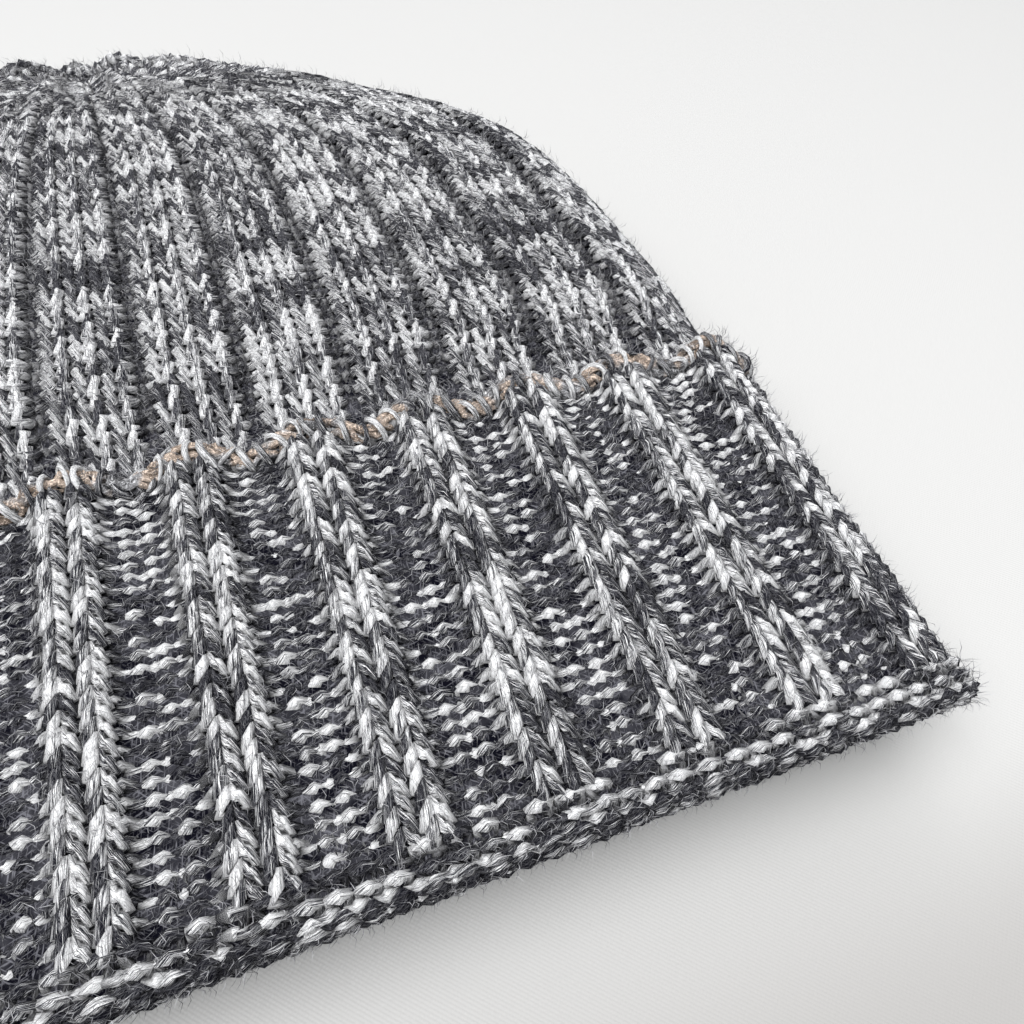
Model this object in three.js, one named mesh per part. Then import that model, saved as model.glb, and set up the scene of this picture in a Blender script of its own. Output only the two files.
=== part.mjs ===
// A rib-knit hat with a turned-up cuff, lying flat on its back.
// Millimetres. +Z is up, +Y runs from the fold of the cuff to the crown, X is centred on the hat.
import * as THREE from "three";

// Sizes of the hat as it lies.
const hatLength = 213; // fold of the cuff to the far end of the crown
const bandWidth = 212; // flat width across the cuff
const cuffHeight = 74; // fold of the cuff to the top of the cast-on edge
const mouthHeight = 10.4; // open height inside the band
const crownHeight = 29; // highest point of the crown

// The knitted fabric and its ribs.
const knitWall = 3.2; // thickness of the fabric
const layerGap = 0.4; // between the turned-up cuff and the tube inside it
const seamGap = 0.3; // between pieces that meet end to end
const ribRepeats = 26; // rib repeats around the hat
const cuffRibDepth = 1.4; // how far the ground lies below the cuff's ribs
const crownChannelDepth = 1.6; // how deep the channels between the crown's ribs are
const crownLag = 0.27; // how far the crown's channels sit off the cuff's ribs, in repeats
const faceDraw = 0.08; // how much narrower the repeats are in the middle of each face

// The fold, the cast-on edge and the gathered tip.
const foldLeg = 1.6; // how far the fabric runs back inside the fold
const foldBand = 5.7; // plain band between the fold and the start of the cuff's ribs
const foldStagger = 5.5; // how far the lower fold lies back behind the upper one
const staggerReach = 42; // height above the fold where both faces lie level again
const castOnHeight = 3.4; // size of the cast-on edge along the cuff
const edgeDip = 3; // how far the cast-on edge dips between two ribs
const edgeClear = 3; // from the cast-on edge to where the crown begins to swell
const gatherDepth = 2; // how deep the gathered tip is drawn in

// Sizes that follow.
const bandHalf = bandWidth / 2;
const foldRadius = knitWall + layerGap / 2;
const tubeInset = knitWall + layerGap;
const bandHeight = mouthHeight + 2 * (tubeInset + knitWall);
const wallTop = cuffHeight - castOnHeight - seamGap;
const tubeStart = foldRadius + foldLeg + seamGap;
const crownStart = cuffHeight + edgeClear;
const crownLength = hatLength - crownStart;

// Outline of the turned-up cuff. up is a share of cuffHeight, half a share of bandHalf,
// and dome, the bulge of the upper face, a share of bandHeight.
const cuffTable = [
  { up: 0.045, half: 0.995, dome: 0 },
  { up: 0.49, half: 1.006, dome: 0.025 },
  { up: 0.81, half: 1.016, dome: 0.034 },
  { up: 1, half: 1.023, dome: 0.042 },
];

// Outline of the crown beyond the cuff, from the edge to the gathered tip. Each row is a slanting
// section from a point on the upper face (front) to one on the lower face (back). half is its half
// width, dome the bulge of its upper side and bow that of its lower side. front, back and bow are
// shares of crownLength, frontZ, backZ and dome of crownHeight, half of bandHalf.
const crownTable = [
  { front: 0.044, frontZ: 0.776, back: 0.044, backZ: 0.038, half: 0.976, dome: 0.031, bow: 0 },
  { front: 0.11, frontZ: 0.828, back: 0.11, backZ: 0, half: 0.981, dome: 0.069, bow: 0 },
  { front: 0.316, frontZ: 0.845, back: 0.316, backZ: 0, half: 0.962, dome: 0.103, bow: 0 },
  { front: 0.493, frontZ: 0.855, back: 0.5, backZ: 0, half: 0.928, dome: 0.103, bow: 0 },
  { front: 0.618, frontZ: 0.872, back: 0.632, backZ: 0, half: 0.844, dome: 0.103, bow: 0 },
  { front: 0.713, frontZ: 0.903, back: 0.787, backZ: 0.01, half: 0.689, dome: 0.09, bow: 0 },
  { front: 0.779, frontZ: 0.938, back: 0.89, backZ: 0.103, half: 0.566, dome: 0.069, bow: 0.007 },
  { front: 0.82, frontZ: 0.952, back: 0.949, backZ: 0.345, half: 0.443, dome: 0.048, bow: 0.026 },
  { front: 0.849, frontZ: 0.952, back: 0.978, backZ: 0.603, half: 0.34, dome: 0.038, bow: 0.026 },
  { front: 0.871, frontZ: 0.938, back: 0.96, backZ: 0.821, half: 0.217, dome: 0.024, bow: 0.018 },
  { front: 0.886, frontZ: 0.91, back: 0.938, backZ: 0.903, half: 0.094, dome: 0.007, bow: 0.006 },
  { front: 0.897, frontZ: 0.862, back: 0.918, backZ: 0.869, half: 0.021, dome: 0, bow: 0 },
];

/** Smooth curve through four numbers, at share f of the way from b to c. */
function through(a, b, c, d, f) {
  const start = (c - a) / 2;
  const end = (d - b) / 2;
  const f2 = f * f;
  const f3 = f2 * f;
  return (2 * f3 - 3 * f2 + 1) * b + (f3 - 2 * f2 + f) * start + (3 * f2 - 2 * f3) * c + (f3 - f2) * end;
}

/** The row of a table at t, which counts its rows from 0 and may lie between two of them. */
function rowAt(rows, t) {
  const last = rows.length - 1;
  const i = Math.min(Math.max(Math.floor(t), 0), last - 1);
  const near = [i - 1, i, i + 1, i + 2].map((k) => rows[Math.min(Math.max(k, 0), last)]);
  const row = {};
  for (const key of Object.keys(rows[0])) {
    row[key] = through(near[0][key], near[1][key], near[2][key], near[3][key], t - i);
  }
  return row;
}

/** A point of a flat oval, and its normal there. u is the share of the way round from the middle
 * of the upper face towards +X, half its half width and thick its half thickness. */
function oval(u, half, thick) {
  const flat = Math.max(half - thick, 0);
  const bend = Math.PI * thick;
  const around = 4 * flat + 2 * bend;
  let s = (((u % 1) + 1) % 1) * around;
  if (s < flat) return { x: s, w: thick, nx: 0, nw: 1 };
  s -= flat;
  if (s < bend) {
    const turn = s / thick;
    const nx = Math.sin(turn);
    const nw = Math.cos(turn);
    return { x: flat + thick * nx, w: thick * nw, nx, nw };
  }
  s -= bend;
  if (s < 2 * flat) return { x: flat - s, w: -thick, nx: 0, nw: -1 };
  s -= 2 * flat;
  if (s < bend) {
    const turn = s / thick;
    const nx = -Math.sin(turn);
    const nw = -Math.cos(turn);
    return { x: -flat + thick * nx, w: thick * nw, nx, nw };
  }
  s -= bend;
  return { x: s - flat, w: thick, nx: 0, nw: 1 };
}

/** Half width and dome of the cuff at the height y above the fold. */
function cuffAt(y) {
  const up = y / cuffHeight;
  let i = 0;
  while (i < cuffTable.length - 2 && up > cuffTable[i + 1].up) i += 1;
  const f = THREE.MathUtils.clamp((up - cuffTable[i].up) / (cuffTable[i + 1].up - cuffTable[i].up), 0, 1);
  const row = rowAt(cuffTable, i + f);
  return { half: row.half * bandHalf, dome: row.dome * bandHeight };
}

/** A point of the cuff at height y, the share u round it, and depth below its outer face. */
function cuffPoint(y, u, depth) {
  const { half, dome } = cuffAt(y);
  const thick = bandHeight / 2;
  const o = oval(u, half, thick);
  const lift = (dome * (1 - (o.x / half) ** 2) * (o.w + thick)) / (2 * thick);
  const z = thick + o.w - depth * o.nw + lift;
  return new THREE.Vector3(o.x - depth * o.nx, y, Math.max(z, 0));
}

/** The crown's sections in millimetres: the tube inside the cuff, then the crown beyond it. */
function crownSections() {
  const sections = [];
  for (const y of [tubeStart, wallTop / 2, wallTop, crownStart]) {
    const { half, dome } = cuffAt(y);
    const top = bandHeight - tubeInset;
    sections.push({
      frontY: y,
      frontZ: top,
      backY: y,
      backZ: tubeInset,
      half: half - tubeInset,
      dome,
      bow: 0,
    });
  }
  for (const row of crownTable) {
    sections.push({
      frontY: crownStart + row.front * crownLength,
      frontZ: row.frontZ * crownHeight,
      backY: crownStart + row.back * crownLength,
      backZ: row.backZ * crownHeight,
      half: row.half * bandHalf,
      dome: row.dome * crownHeight,
      bow: row.bow * crownLength,
    });
  }
  return sections;
}

const sections = crownSections();
const tubeRows = sections.length - crownTable.length;
const tipRow = sections.length - 1;

/** A point of the crown's outer envelope, in section t and at the share u round it. */
function crownEnvelope(t, u) {
  const row = rowAt(sections, t);
  const alongY = (row.frontY - row.backY) / 2;
  const alongZ = (row.frontZ - row.backZ) / 2;
  const thick = Math.hypot(alongY, alongZ);
  const half = Math.max(row.half, thick);
  const o = oval(u, half, thick);
  const middle = (1 - (o.x / half) ** 2) / (2 * thick);
  const w = o.w + row.dome * middle * (thick + o.w) - row.bow * middle * (thick - o.w);
  return new THREE.Vector3(
    o.x,
    (row.frontY + row.backY) / 2 + (w * alongY) / thick,
    (row.frontZ + row.backZ) / 2 + (w * alongZ) / thick,
  );
}

/** The crown's surface at section t and share r of its repeats round it, depth below the envelope. */
function crownPoint(t, r, depth) {
  const u = r - (faceDraw * Math.sin(4 * Math.PI * r)) / (4 * Math.PI);
  const step = 0.02;
  const before = Math.max(t - step, 0);
  const after = Math.min(t + step, tipRow);
  const alongT = crownEnvelope(after, u).sub(crownEnvelope(before, u));
  const alongU = crownEnvelope(t, u + 0.001).sub(crownEnvelope(t, u - 0.001));
  const normal = alongT.cross(alongU).normalize();
  const point = crownEnvelope(t, u).addScaledVector(normal, depth);
  point.z = Math.max(point.z, 0);
  return point;
}

/** How much of the rib relief shows in the crown's section t: none in the tube or near the tip. */
function crownRelief(t) {
  const start = THREE.MathUtils.smoothstep(t, tubeRows - 0.5, tubeRows + 0.5);
  const end = 1 - THREE.MathUtils.smoothstep(t, tipRow - 6, tipRow - 2.5);
  return start * end;
}

/** How far a point moves back from the fold, so that the lower fold lies behind the upper one. */
function staggerAt({ y, z }) {
  const near = 1 - THREE.MathUtils.smoothstep(y, 0, staggerReach);
  return (foldStagger * near * (bandHeight - foldRadius - z)) / bandHeight;
}

/** Collects the triangles of one closed solid. */
class Solid {
  constructor() {
    this.positions = [];
    this.faces = [];
  }

  /** Adds a row of points and returns their numbers. */
  row(points) {
    const first = this.positions.length / 3;
    for (const p of points) this.positions.push(p.x, p.y + staggerAt(p) - hatLength / 2, p.z);
    return points.map((_, i) => first + i);
  }

  /** Joins two closed rings. The second may have as many points as the first, or half as many. */
  band(a, b) {
    const ratio = a.length / b.length;
    for (let i = 0; i < b.length; i += 1) {
      const j = (i + 1) % b.length;
      for (let k = 0; k < ratio; k += 1) {
        this.faces.push(a[i * ratio + k], a[(i * ratio + k + 1) % a.length], b[i]);
      }
      this.faces.push(a[(j * ratio) % a.length], b[j], b[i]);
    }
  }

  /** Closes a ring with one point. */
  cap(ring, point) {
    const [tip] = this.row([point]);
    ring.forEach((p, i) => this.faces.push(p, ring[(i + 1) % ring.length], tip));
  }

  /** The finished mesh. */
  mesh(name, material) {
    const geometry = new THREE.BufferGeometry();
    geometry.setAttribute("position", new THREE.Float32BufferAttribute(this.positions, 3));
    geometry.setIndex(this.faces);
    geometry.computeVertexNormals();
    const mesh = new THREE.Mesh(geometry, material);
    mesh.name = name;
    return mesh;
  }
}

/** The average of some points. */
function centre(points) {
  const sum = new THREE.Vector3();
  for (const p of points) sum.add(p);
  return sum.divideScalar(points.length);
}

/** The crown with the tube that runs down inside the cuff: one thin wall, closed at the tip. */
function crown(material) {
  const solid = new Solid();
  const outerRows = [0, 2, 3, 4, 4.5, 5, 6, 7, 8];
  for (let t = 8.5; t <= 13; t += 0.5) outerRows.push(t);
  outerRows.push(13.7, 14.4, tipRow);
  const innerRows = [0, 2, 3.2, 4.2, 5.5, 7, 8, 9, 10, 11, 12];
  // Four stations to a repeat: the channel, its two sides and the middle of the rib.
  const stations = [
    { at: 0, deep: 1 },
    { at: 0.12, deep: 0 },
    { at: 0.5, deep: 0 },
    { at: 0.88, deep: 0 },
  ];
  const outerRing = (t) => {
    const points = [];
    for (let k = 0; k < ribRepeats; k += 1) {
      for (const { at, deep } of stations) {
        const r = (k + 0.5 - crownLag + at) / ribRepeats;
        points.push(crownPoint(t, r, deep * crownChannelDepth * crownRelief(t)));
      }
    }
    return points;
  };
  const innerRing = (t) => {
    const points = [];
    for (let k = 0; k < ribRepeats; k += 1) {
      for (const at of [0, 0.5]) {
        points.push(crownPoint(t, (k + 0.5 - crownLag + at) / ribRepeats, knitWall));
      }
    }
    return points;
  };
  const outer = outerRows.map((t) => solid.row(outerRing(t)));
  for (let i = 1; i < outer.length; i += 1) solid.band(outer[i - 1], outer[i]);
  const tip = centre(outerRing(tipRow));
  tip.z -= gatherDepth;
  solid.cap(outer[outer.length - 1], tip);
  const inner = innerRows.map((t) => solid.row(innerRing(t)));
  solid.band([...outer[0]].reverse(), [...inner[0]].reverse());
  for (let i = 1; i < inner.length; i += 1) solid.band(inner[i], inner[i - 1]);
  const innerLast = innerRows[innerRows.length - 1];
  solid.cap([...inner[inner.length - 1]].reverse(), centre(innerRing(innerLast)));
  return solid.mesh("crown", material);
}

/** Six stations to a repeat of the cuff: the rib's middle and sides, and the ground between two
 * ribs. rise is how far the cast-on edge has climbed there. */
const cuffStations = [
  { at: -0.3, deep: 1, rise: 0.25 },
  { at: -0.18, deep: 0, rise: 0.7 },
  { at: 0, deep: 0, rise: 1 },
  { at: 0.18, deep: 0, rise: 0.7 },
  { at: 0.3, deep: 1, rise: 0.25 },
  { at: 0.5, deep: 1, rise: 0 },
];

/** Runs a function at each station round the cuff and returns the results in order. */
function roundCuff(build) {
  const results = [];
  for (let k = 0; k < ribRepeats; k += 1) {
    for (const station of cuffStations) {
      results.push(build((k + 0.5 + station.at) / ribRepeats, station));
    }
  }
  return results;
}

/** The turned-up cuff: its outer wall with the ribs, the fold, and a short leg back inside. */
function turnedCuff(material) {
  const solid = new Solid();
  const loops = roundCuff((u, { deep, rise }) => {
    const top = wallTop - edgeDip * (1 - rise);
    const loop = [];
    for (const share of [1, 0.5, 0.09]) {
      loop.push([foldRadius + share * (top - foldRadius), deep * cuffRibDepth]);
    }
    loop.push([foldBand, deep * cuffRibDepth * 0.35]);
    for (const degrees of [0, 60, 90, 120, 180]) {
      const turn = THREE.MathUtils.degToRad(degrees);
      loop.push([foldRadius * (1 - Math.sin(turn)), foldRadius * (1 - Math.cos(turn))]);
    }
    loop.push([foldRadius + foldLeg, 2 * foldRadius]);
    loop.push([foldRadius + foldLeg, tubeInset]);
    loop.push([foldRadius, tubeInset]);
    loop.push([foldRadius - layerGap / 2, foldRadius]);
    loop.push([foldRadius, knitWall]);
    loop.push([top, knitWall]);
    return solid.row(loop.map(([y, depth]) => cuffPoint(y, u, depth)));
  });
  loops.forEach((loop, i) => solid.band(loop, loops[(i + 1) % loops.length]));
  return solid.mesh("turned_cuff", material);
}

/** The cast-on edge: a rounded bead along the scalloped top of the cuff. */
function castOnEdge(material) {
  const solid = new Solid();
  const beadSides = 5;
  const loops = roundCuff((u, { rise }) => {
    const middle = cuffHeight - castOnHeight / 2 - edgeDip * (1 - rise);
    const loop = [];
    for (let i = 0; i < beadSides; i += 1) {
      const turn = (i / beadSides) * 2 * Math.PI;
      const y = middle + (castOnHeight / 2) * Math.sin(turn);
      loop.push([y, (knitWall / 2) * (1 - Math.cos(turn))]);
    }
    return solid.row(loop.map(([y, depth]) => cuffPoint(y, u, depth)).reverse());
  });
  loops.forEach((loop, i) => solid.band(loop, loops[(i + 1) % loops.length]));
  return solid.mesh("cast_on_edge", material);
}

const greyMarl = new THREE.MeshStandardMaterial({ color: 0x6f7278, roughness: 0.95, metalness: 0 });
const darkMarl = new THREE.MeshStandardMaterial({ color: 0x5c5f66, roughness: 0.95, metalness: 0 });
const tanMarl = new THREE.MeshStandardMaterial({ color: 0x9c8f80, roughness: 0.95, metalness: 0 });

const group = new THREE.Group();
group.add(crown(greyMarl));
group.add(turnedCuff(darkMarl));
group.add(castOnEdge(tanMarl));

export default group;
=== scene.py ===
"""A grey marl rib-knit hat with a turned-up cuff, lying flat on a pale table.

Metres, +Z up, +Y from the fold of the cuff to the crown. The knitting is real yarn: Geometry Nodes
lay each course of loops along a smooth shell of the hat, and loose fibres grow out of the yarn.
"""

import logging
import math
from dataclasses import dataclass, field
from enum import Enum
from typing import Sequence

import bpy
import numpy as np
from mathutils import Matrix, Vector


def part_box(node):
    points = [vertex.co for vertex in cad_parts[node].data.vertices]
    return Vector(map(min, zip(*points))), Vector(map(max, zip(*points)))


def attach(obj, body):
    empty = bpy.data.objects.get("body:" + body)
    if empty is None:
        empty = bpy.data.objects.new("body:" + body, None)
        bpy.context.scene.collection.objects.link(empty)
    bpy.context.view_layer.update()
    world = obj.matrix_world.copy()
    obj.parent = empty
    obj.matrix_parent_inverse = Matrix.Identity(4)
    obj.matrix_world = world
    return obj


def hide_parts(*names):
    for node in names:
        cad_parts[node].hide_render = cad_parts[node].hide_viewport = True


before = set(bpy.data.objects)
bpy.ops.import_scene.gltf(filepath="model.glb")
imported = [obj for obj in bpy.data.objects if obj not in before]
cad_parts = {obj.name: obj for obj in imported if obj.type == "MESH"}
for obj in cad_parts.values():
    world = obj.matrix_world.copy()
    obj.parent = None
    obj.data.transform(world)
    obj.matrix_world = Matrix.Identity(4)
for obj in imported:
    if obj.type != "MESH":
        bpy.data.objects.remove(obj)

LOG = logging.getLogger("knit_hat")
MM = 0.001
Rows = np.ndarray


# ---------------------------------------------------------------- the hat's shape


@dataclass(frozen=True)
class HatShape:
    """The smooth outer form of the hat, from the same tables as its solids.

    Lengths are in metres. y is measured from the fold of the cuff.
    """

    fold_y: float
    hat_length: float
    crown_height: float
    band_half: float = 106 * MM
    cuff_height: float = 74 * MM
    mouth_height: float = 10.4 * MM
    wall: float = 3.2 * MM
    layer_gap: float = 0.4 * MM
    edge_clear: float = 3 * MM
    edge_dip: float = 3 * MM
    repeats: int = 26
    crown_lag: float = 0.27
    face_draw: float = 0.08
    fold_stagger: float = 5.5 * MM
    stagger_reach: float = 42 * MM
    gather_at: float = 200.5 * MM
    gather_depth: float = 4.6 * MM
    gather_reach: float = 6.5 * MM
    pucker_height: float = 1.7 * MM
    puckers: int = 7
    cuff_rows: tuple = (
        (0.045, 0.995, 0.0),
        (0.49, 1.006, 0.025),
        (0.81, 1.016, 0.034),
        (1.0, 1.023, 0.042),
    )
    crown_rows: tuple = (
        (0.044, 0.776, 0.044, 0.038, 0.976, 0.031, 0.0),
        (0.11, 0.828, 0.11, 0.0, 0.981, 0.069, 0.0),
        (0.316, 0.845, 0.316, 0.0, 0.962, 0.103, 0.0),
        (0.493, 0.855, 0.5, 0.0, 0.928, 0.103, 0.0),
        (0.618, 0.872, 0.632, 0.0, 0.844, 0.103, 0.0),
        (0.713, 0.903, 0.787, 0.01, 0.689, 0.09, 0.0),
        (0.779, 0.938, 0.89, 0.103, 0.566, 0.069, 0.007),
        (0.82, 0.952, 0.949, 0.345, 0.443, 0.048, 0.026),
        (0.849, 0.952, 0.978, 0.603, 0.34, 0.038, 0.026),
        (0.871, 0.938, 0.96, 0.821, 0.217, 0.024, 0.018),
        (0.886, 0.91, 0.938, 0.903, 0.094, 0.007, 0.006),
        (0.897, 0.862, 0.918, 0.869, 0.021, 0.0, 0.0),
    )

    @property
    def fold_radius(self) -> float:
        """Outer radius of the fold at the mouth."""
        return self.wall + self.layer_gap / 2

    @property
    def tube_inset(self) -> float:
        """Depth of the inner tube's outer face below the cuff's outer face."""
        return self.wall + self.layer_gap

    @property
    def band_height(self) -> float:
        """Height of the flat band as it lies."""
        return self.mouth_height + 2 * (self.tube_inset + self.wall)

    @property
    def crown_start(self) -> float:
        """Where the crown begins to swell out from under the cuff."""
        return self.cuff_height + self.edge_clear

    def cuff_at(self, y: Rows) -> tuple[Rows, Rows]:
        """Half width and dome of the cuff.

        Args:
            y: Heights above the fold.

        Returns:
            The half widths and the bulges of the upper face there.
        """
        table = np.array(self.cuff_rows)
        up = np.clip(y / self.cuff_height, table[0, 0], 1.0)
        i = np.clip(np.searchsorted(table[:, 0], up, side="right") - 1, 0, len(table) - 2)
        share = (up - table[i, 0]) / (table[i + 1, 0] - table[i, 0])
        row = through_rows(table, i + share)
        return row[..., 1] * self.band_half, row[..., 2] * self.band_height

    def cuff_point(self, y: Rows, u: Rows, depth: Rows) -> Rows:
        """Points of the cuff.

        Args:
            y: Heights above the fold.
            u: Shares of the way round.
            depth: Depths below the cuff's outer face.

        Returns:
            Their places, in an array that ends in x, y, z.
        """
        y, u, depth = np.broadcast_arrays(y, u, depth)
        half, dome = self.cuff_at(y)
        thick = self.band_height / 2
        x, w, nx, nw = oval(u, half, np.full_like(half, thick))
        lift = dome * (1 - (x / half) ** 2) * (w + thick) / (2 * thick)
        z = thick + w - depth * nw + lift
        return self.settle(x - depth * nx, y, np.maximum(z, 0.0))

    def crown_sections(self) -> Rows:
        """The crown's slanting sections in metres, the tube inside the cuff first."""
        rows = []
        for y in (0.0253, 0.0352, 0.0703, self.crown_start):
            half, dome = self.cuff_at(np.array(y))
            top = self.band_height - self.tube_inset
            rows.append([y, top, y, self.tube_inset, float(half) - self.tube_inset, float(dome), 0.0])
        length = self.hat_length - self.crown_start
        for front, front_z, back, back_z, half_share, dome_share, bow in self.crown_rows:
            rows.append(
                [
                    self.crown_start + front * length,
                    front_z * self.crown_height,
                    self.crown_start + back * length,
                    back_z * self.crown_height,
                    half_share * self.band_half,
                    dome_share * self.crown_height,
                    bow * length,
                ]
            )
        return np.array(rows)

    def crown_point(self, t: Rows, r: Rows) -> Rows:
        """Points of the crown's outer envelope.

        Args:
            t: Sections, counted from the tube to the tip.
            r: Shares of the rib repeats round the hat.

        Returns:
            Their places, in an array that ends in x, y, z.
        """
        t, r = np.broadcast_arrays(t, r)
        row = through_rows(self.crown_sections(), t)
        front_y, front_z, back_y, back_z, half, dome, bow = np.moveaxis(row, -1, 0)
        along_y, along_z = (front_y - back_y) / 2, (front_z - back_z) / 2
        thick = np.hypot(along_y, along_z)
        half = np.maximum(half, thick)
        u = r - self.face_draw * np.sin(4 * np.pi * r) / (4 * np.pi)
        x, w, _, _ = oval(u, half, thick)
        middle = (1 - (x / half) ** 2) / (2 * thick)
        w = w + dome * middle * (thick + w) - bow * middle * (thick - w)
        y = (front_y + back_y) / 2 + w * along_y / thick
        z = (front_z + back_z) / 2 + w * along_z / thick
        return self.settle(x, y, np.maximum(z - self.gather(x, y, z), 0.0))

    def gather(self, x: Rows, y: Rows, z: Rows) -> Rows:
        """How far the cloth is drawn in round the gathered tip.

        Args:
            x: Places across the hat.
            y: Heights above the fold.
            z: Heights above the table.

        Returns:
            The drop below the smooth form, less where a pucker stands up.
        """
        far = np.hypot(x * 0.7, y - self.gather_at)
        turn = np.arctan2(x, y - self.gather_at)
        upper = np.clip((z / self.crown_height - 0.55) / 0.25, 0.0, 1.0)
        hollow = self.gather_depth * np.exp(-((far / self.gather_reach) ** 2))
        ring = np.exp(-(((far - 2.0 * self.gather_reach) / self.gather_reach) ** 2))
        return upper * (hollow - self.pucker_height * ring * np.cos(self.puckers * turn + 0.8))

    def settle(self, x: Rows, y: Rows, z: Rows) -> Rows:
        """Points in their places: the lower fold lies a little behind the upper one.

        Args:
            x: Places across the hat.
            y: Heights above the fold.
            z: Heights above the table.

        Returns:
            The places, in an array that ends in x, y, z.
        """
        share = np.clip(y / self.stagger_reach, 0.0, 1.0)
        near = 1 - share * share * (3 - 2 * share)
        back = self.fold_stagger * near * (self.band_height - self.fold_radius - z) / self.band_height
        return np.stack([x, y + back + self.fold_y, z], -1)


def through_rows(table: Rows, t: Rows) -> Rows:
    """Smooth curve through the rows of a table.

    Args:
        table: One row for each section.
        t: Places in the table, counted in rows from 0.

    Returns:
        The rows there.
    """
    last = len(table) - 1
    t = np.asarray(t, float)
    i = np.clip(np.floor(t).astype(int), 0, last - 1)
    f = (t - i)[..., None]
    a, b = table[np.clip(i - 1, 0, last)], table[i]
    c, d = table[i + 1], table[np.clip(i + 2, 0, last)]
    start, end = (c - a) / 2, (d - b) / 2
    f2, f3 = f * f, f * f * f
    return (2 * f3 - 3 * f2 + 1) * b + (f3 - 2 * f2 + f) * start + (3 * f2 - 2 * f3) * c + (f3 - f2) * end


def oval(u: Rows, half: Rows, thick: Rows) -> tuple[Rows, Rows, Rows, Rows]:
    """Points of a flat oval, evenly spaced round it.

    Args:
        u: Shares of the way round, from the middle of the upper face towards +X.
        half: Half widths.
        thick: Half thicknesses.

    Returns:
        x, the height w above the middle, and the normal's x and w.
    """
    flat = np.maximum(half - thick, 0.0)
    bend = np.pi * thick
    s = np.mod(u, 1.0) * (4 * flat + 2 * bend)
    right = (s - flat) / thick
    left = (s - 3 * flat - bend) / thick
    on_right = (s >= flat) & (s < flat + bend)
    on_under = (s >= flat + bend) & (s < 3 * flat + bend)
    on_left = (s >= 3 * flat + bend) & (s < 3 * flat + 2 * bend)
    cases = [on_right, on_under, on_left, s >= 3 * flat + 2 * bend]
    x = np.select(
        cases,
        [flat + thick * np.sin(right), 2 * flat + bend - s, -flat - thick * np.sin(left), s - 4 * flat - 2 * bend],
        s,
    )
    nx = np.select(cases, [np.sin(right), 0 * s, -np.sin(left), 0 * s], 0 * s)
    nw = np.select(cases, [np.cos(right), 0 * s - 1, -np.cos(left), 0 * s + 1], 0 * s + 1)
    return x, thick * nw, nx, nw


@dataclass
class Shell:
    """A smooth sheet of the hat's outer face, which the yarn is laid on.

    It starts on the upper side of the hat. Its UV map, cloth, runs round the hat in x and along
    the knitting in y.
    """

    name: str
    points: Rows
    along: Rows
    sheet: bpy.types.Object = field(init=False)

    def __post_init__(self) -> None:
        """Builds the sheet's mesh, with its normals and its UV map."""
        rows, columns = self.points.shape[:2]
        normals = self.normals()
        index = np.arange(rows * columns).reshape(rows, columns)
        quads = np.stack([index[:-1, :-1], index[:-1, 1:], index[1:, 1:], index[1:, :-1]], -1).reshape(-1, 4)
        mesh = bpy.data.meshes.new(self.name)
        mesh.from_pydata(self.points.reshape(-1, 3).tolist(), [], quads.tolist())
        round_share = np.linspace(0.0, 1.0, columns)
        uv = np.stack(np.broadcast_arrays(round_share[None, :], self.along[:, None]), -1).reshape(-1, 2)
        corners = np.zeros(len(mesh.loops), int)
        mesh.loops.foreach_get("vertex_index", corners)
        layer = mesh.uv_layers.new(name="cloth")
        layer.data.foreach_set("uv", uv[corners].ravel())
        out = mesh.attributes.new("out", "FLOAT_VECTOR", "POINT")
        out.data.foreach_set("vector", normals.reshape(-1))
        self.sheet = bpy.data.objects.new(self.name, mesh)
        bpy.context.scene.collection.objects.link(self.sheet)

    def normals(self) -> Rows:
        """Outward normals of the sheet's points."""
        wrapped = np.concatenate([self.points[:, -2:-1], self.points, self.points[:, 1:2]], 1)
        around = wrapped[:, 2:] - wrapped[:, :-2]
        along = np.gradient(self.points, axis=0)
        normals = np.cross(around, along)
        normals /= np.maximum(np.linalg.norm(normals, axis=-1, keepdims=True), 1e-12)
        return normals * np.sign(normals[0, 0, 2])

    def discard(self) -> None:
        """Removes the sheet once the yarn lies on it."""
        mesh = self.sheet.data
        bpy.data.objects.remove(self.sheet)
        bpy.data.meshes.remove(mesh)


# ---------------------------------------------------------------- node graphs


class Value:
    """An output socket that adds, multiplies and compares as a number does."""

    def __init__(self, graph: "Graph", socket: bpy.types.NodeSocket) -> None:
        """Keeps the graph and the socket."""
        self.graph = graph
        self.socket = socket

    def __add__(self, other: "Number") -> "Value":
        """Sum."""
        return self.graph.math("ADD", self, other)

    __radd__ = __add__

    def __sub__(self, other: "Number") -> "Value":
        """Difference."""
        return self.graph.math("SUBTRACT", self, other)

    def __rsub__(self, other: "Number") -> "Value":
        """Difference from a number."""
        return self.graph.math("SUBTRACT", other, self)

    def __mul__(self, other: "Number") -> "Value":
        """Product."""
        return self.graph.math("MULTIPLY", self, other)

    __rmul__ = __mul__

    def __truediv__(self, other: "Number") -> "Value":
        """Quotient."""
        return self.graph.math("DIVIDE", self, other)

    def __mod__(self, other: "Number") -> "Value":
        """Remainder, never negative."""
        return self.graph.math("FLOORED_MODULO", self, other)

    def __pow__(self, other: "Number") -> "Value":
        """Power."""
        return self.graph.math("POWER", self, other)

    def __lt__(self, other: "Number") -> "Value":
        """1 where smaller, or else 0."""
        return self.graph.math("LESS_THAN", self, other)


Number = Value | float | int


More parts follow.
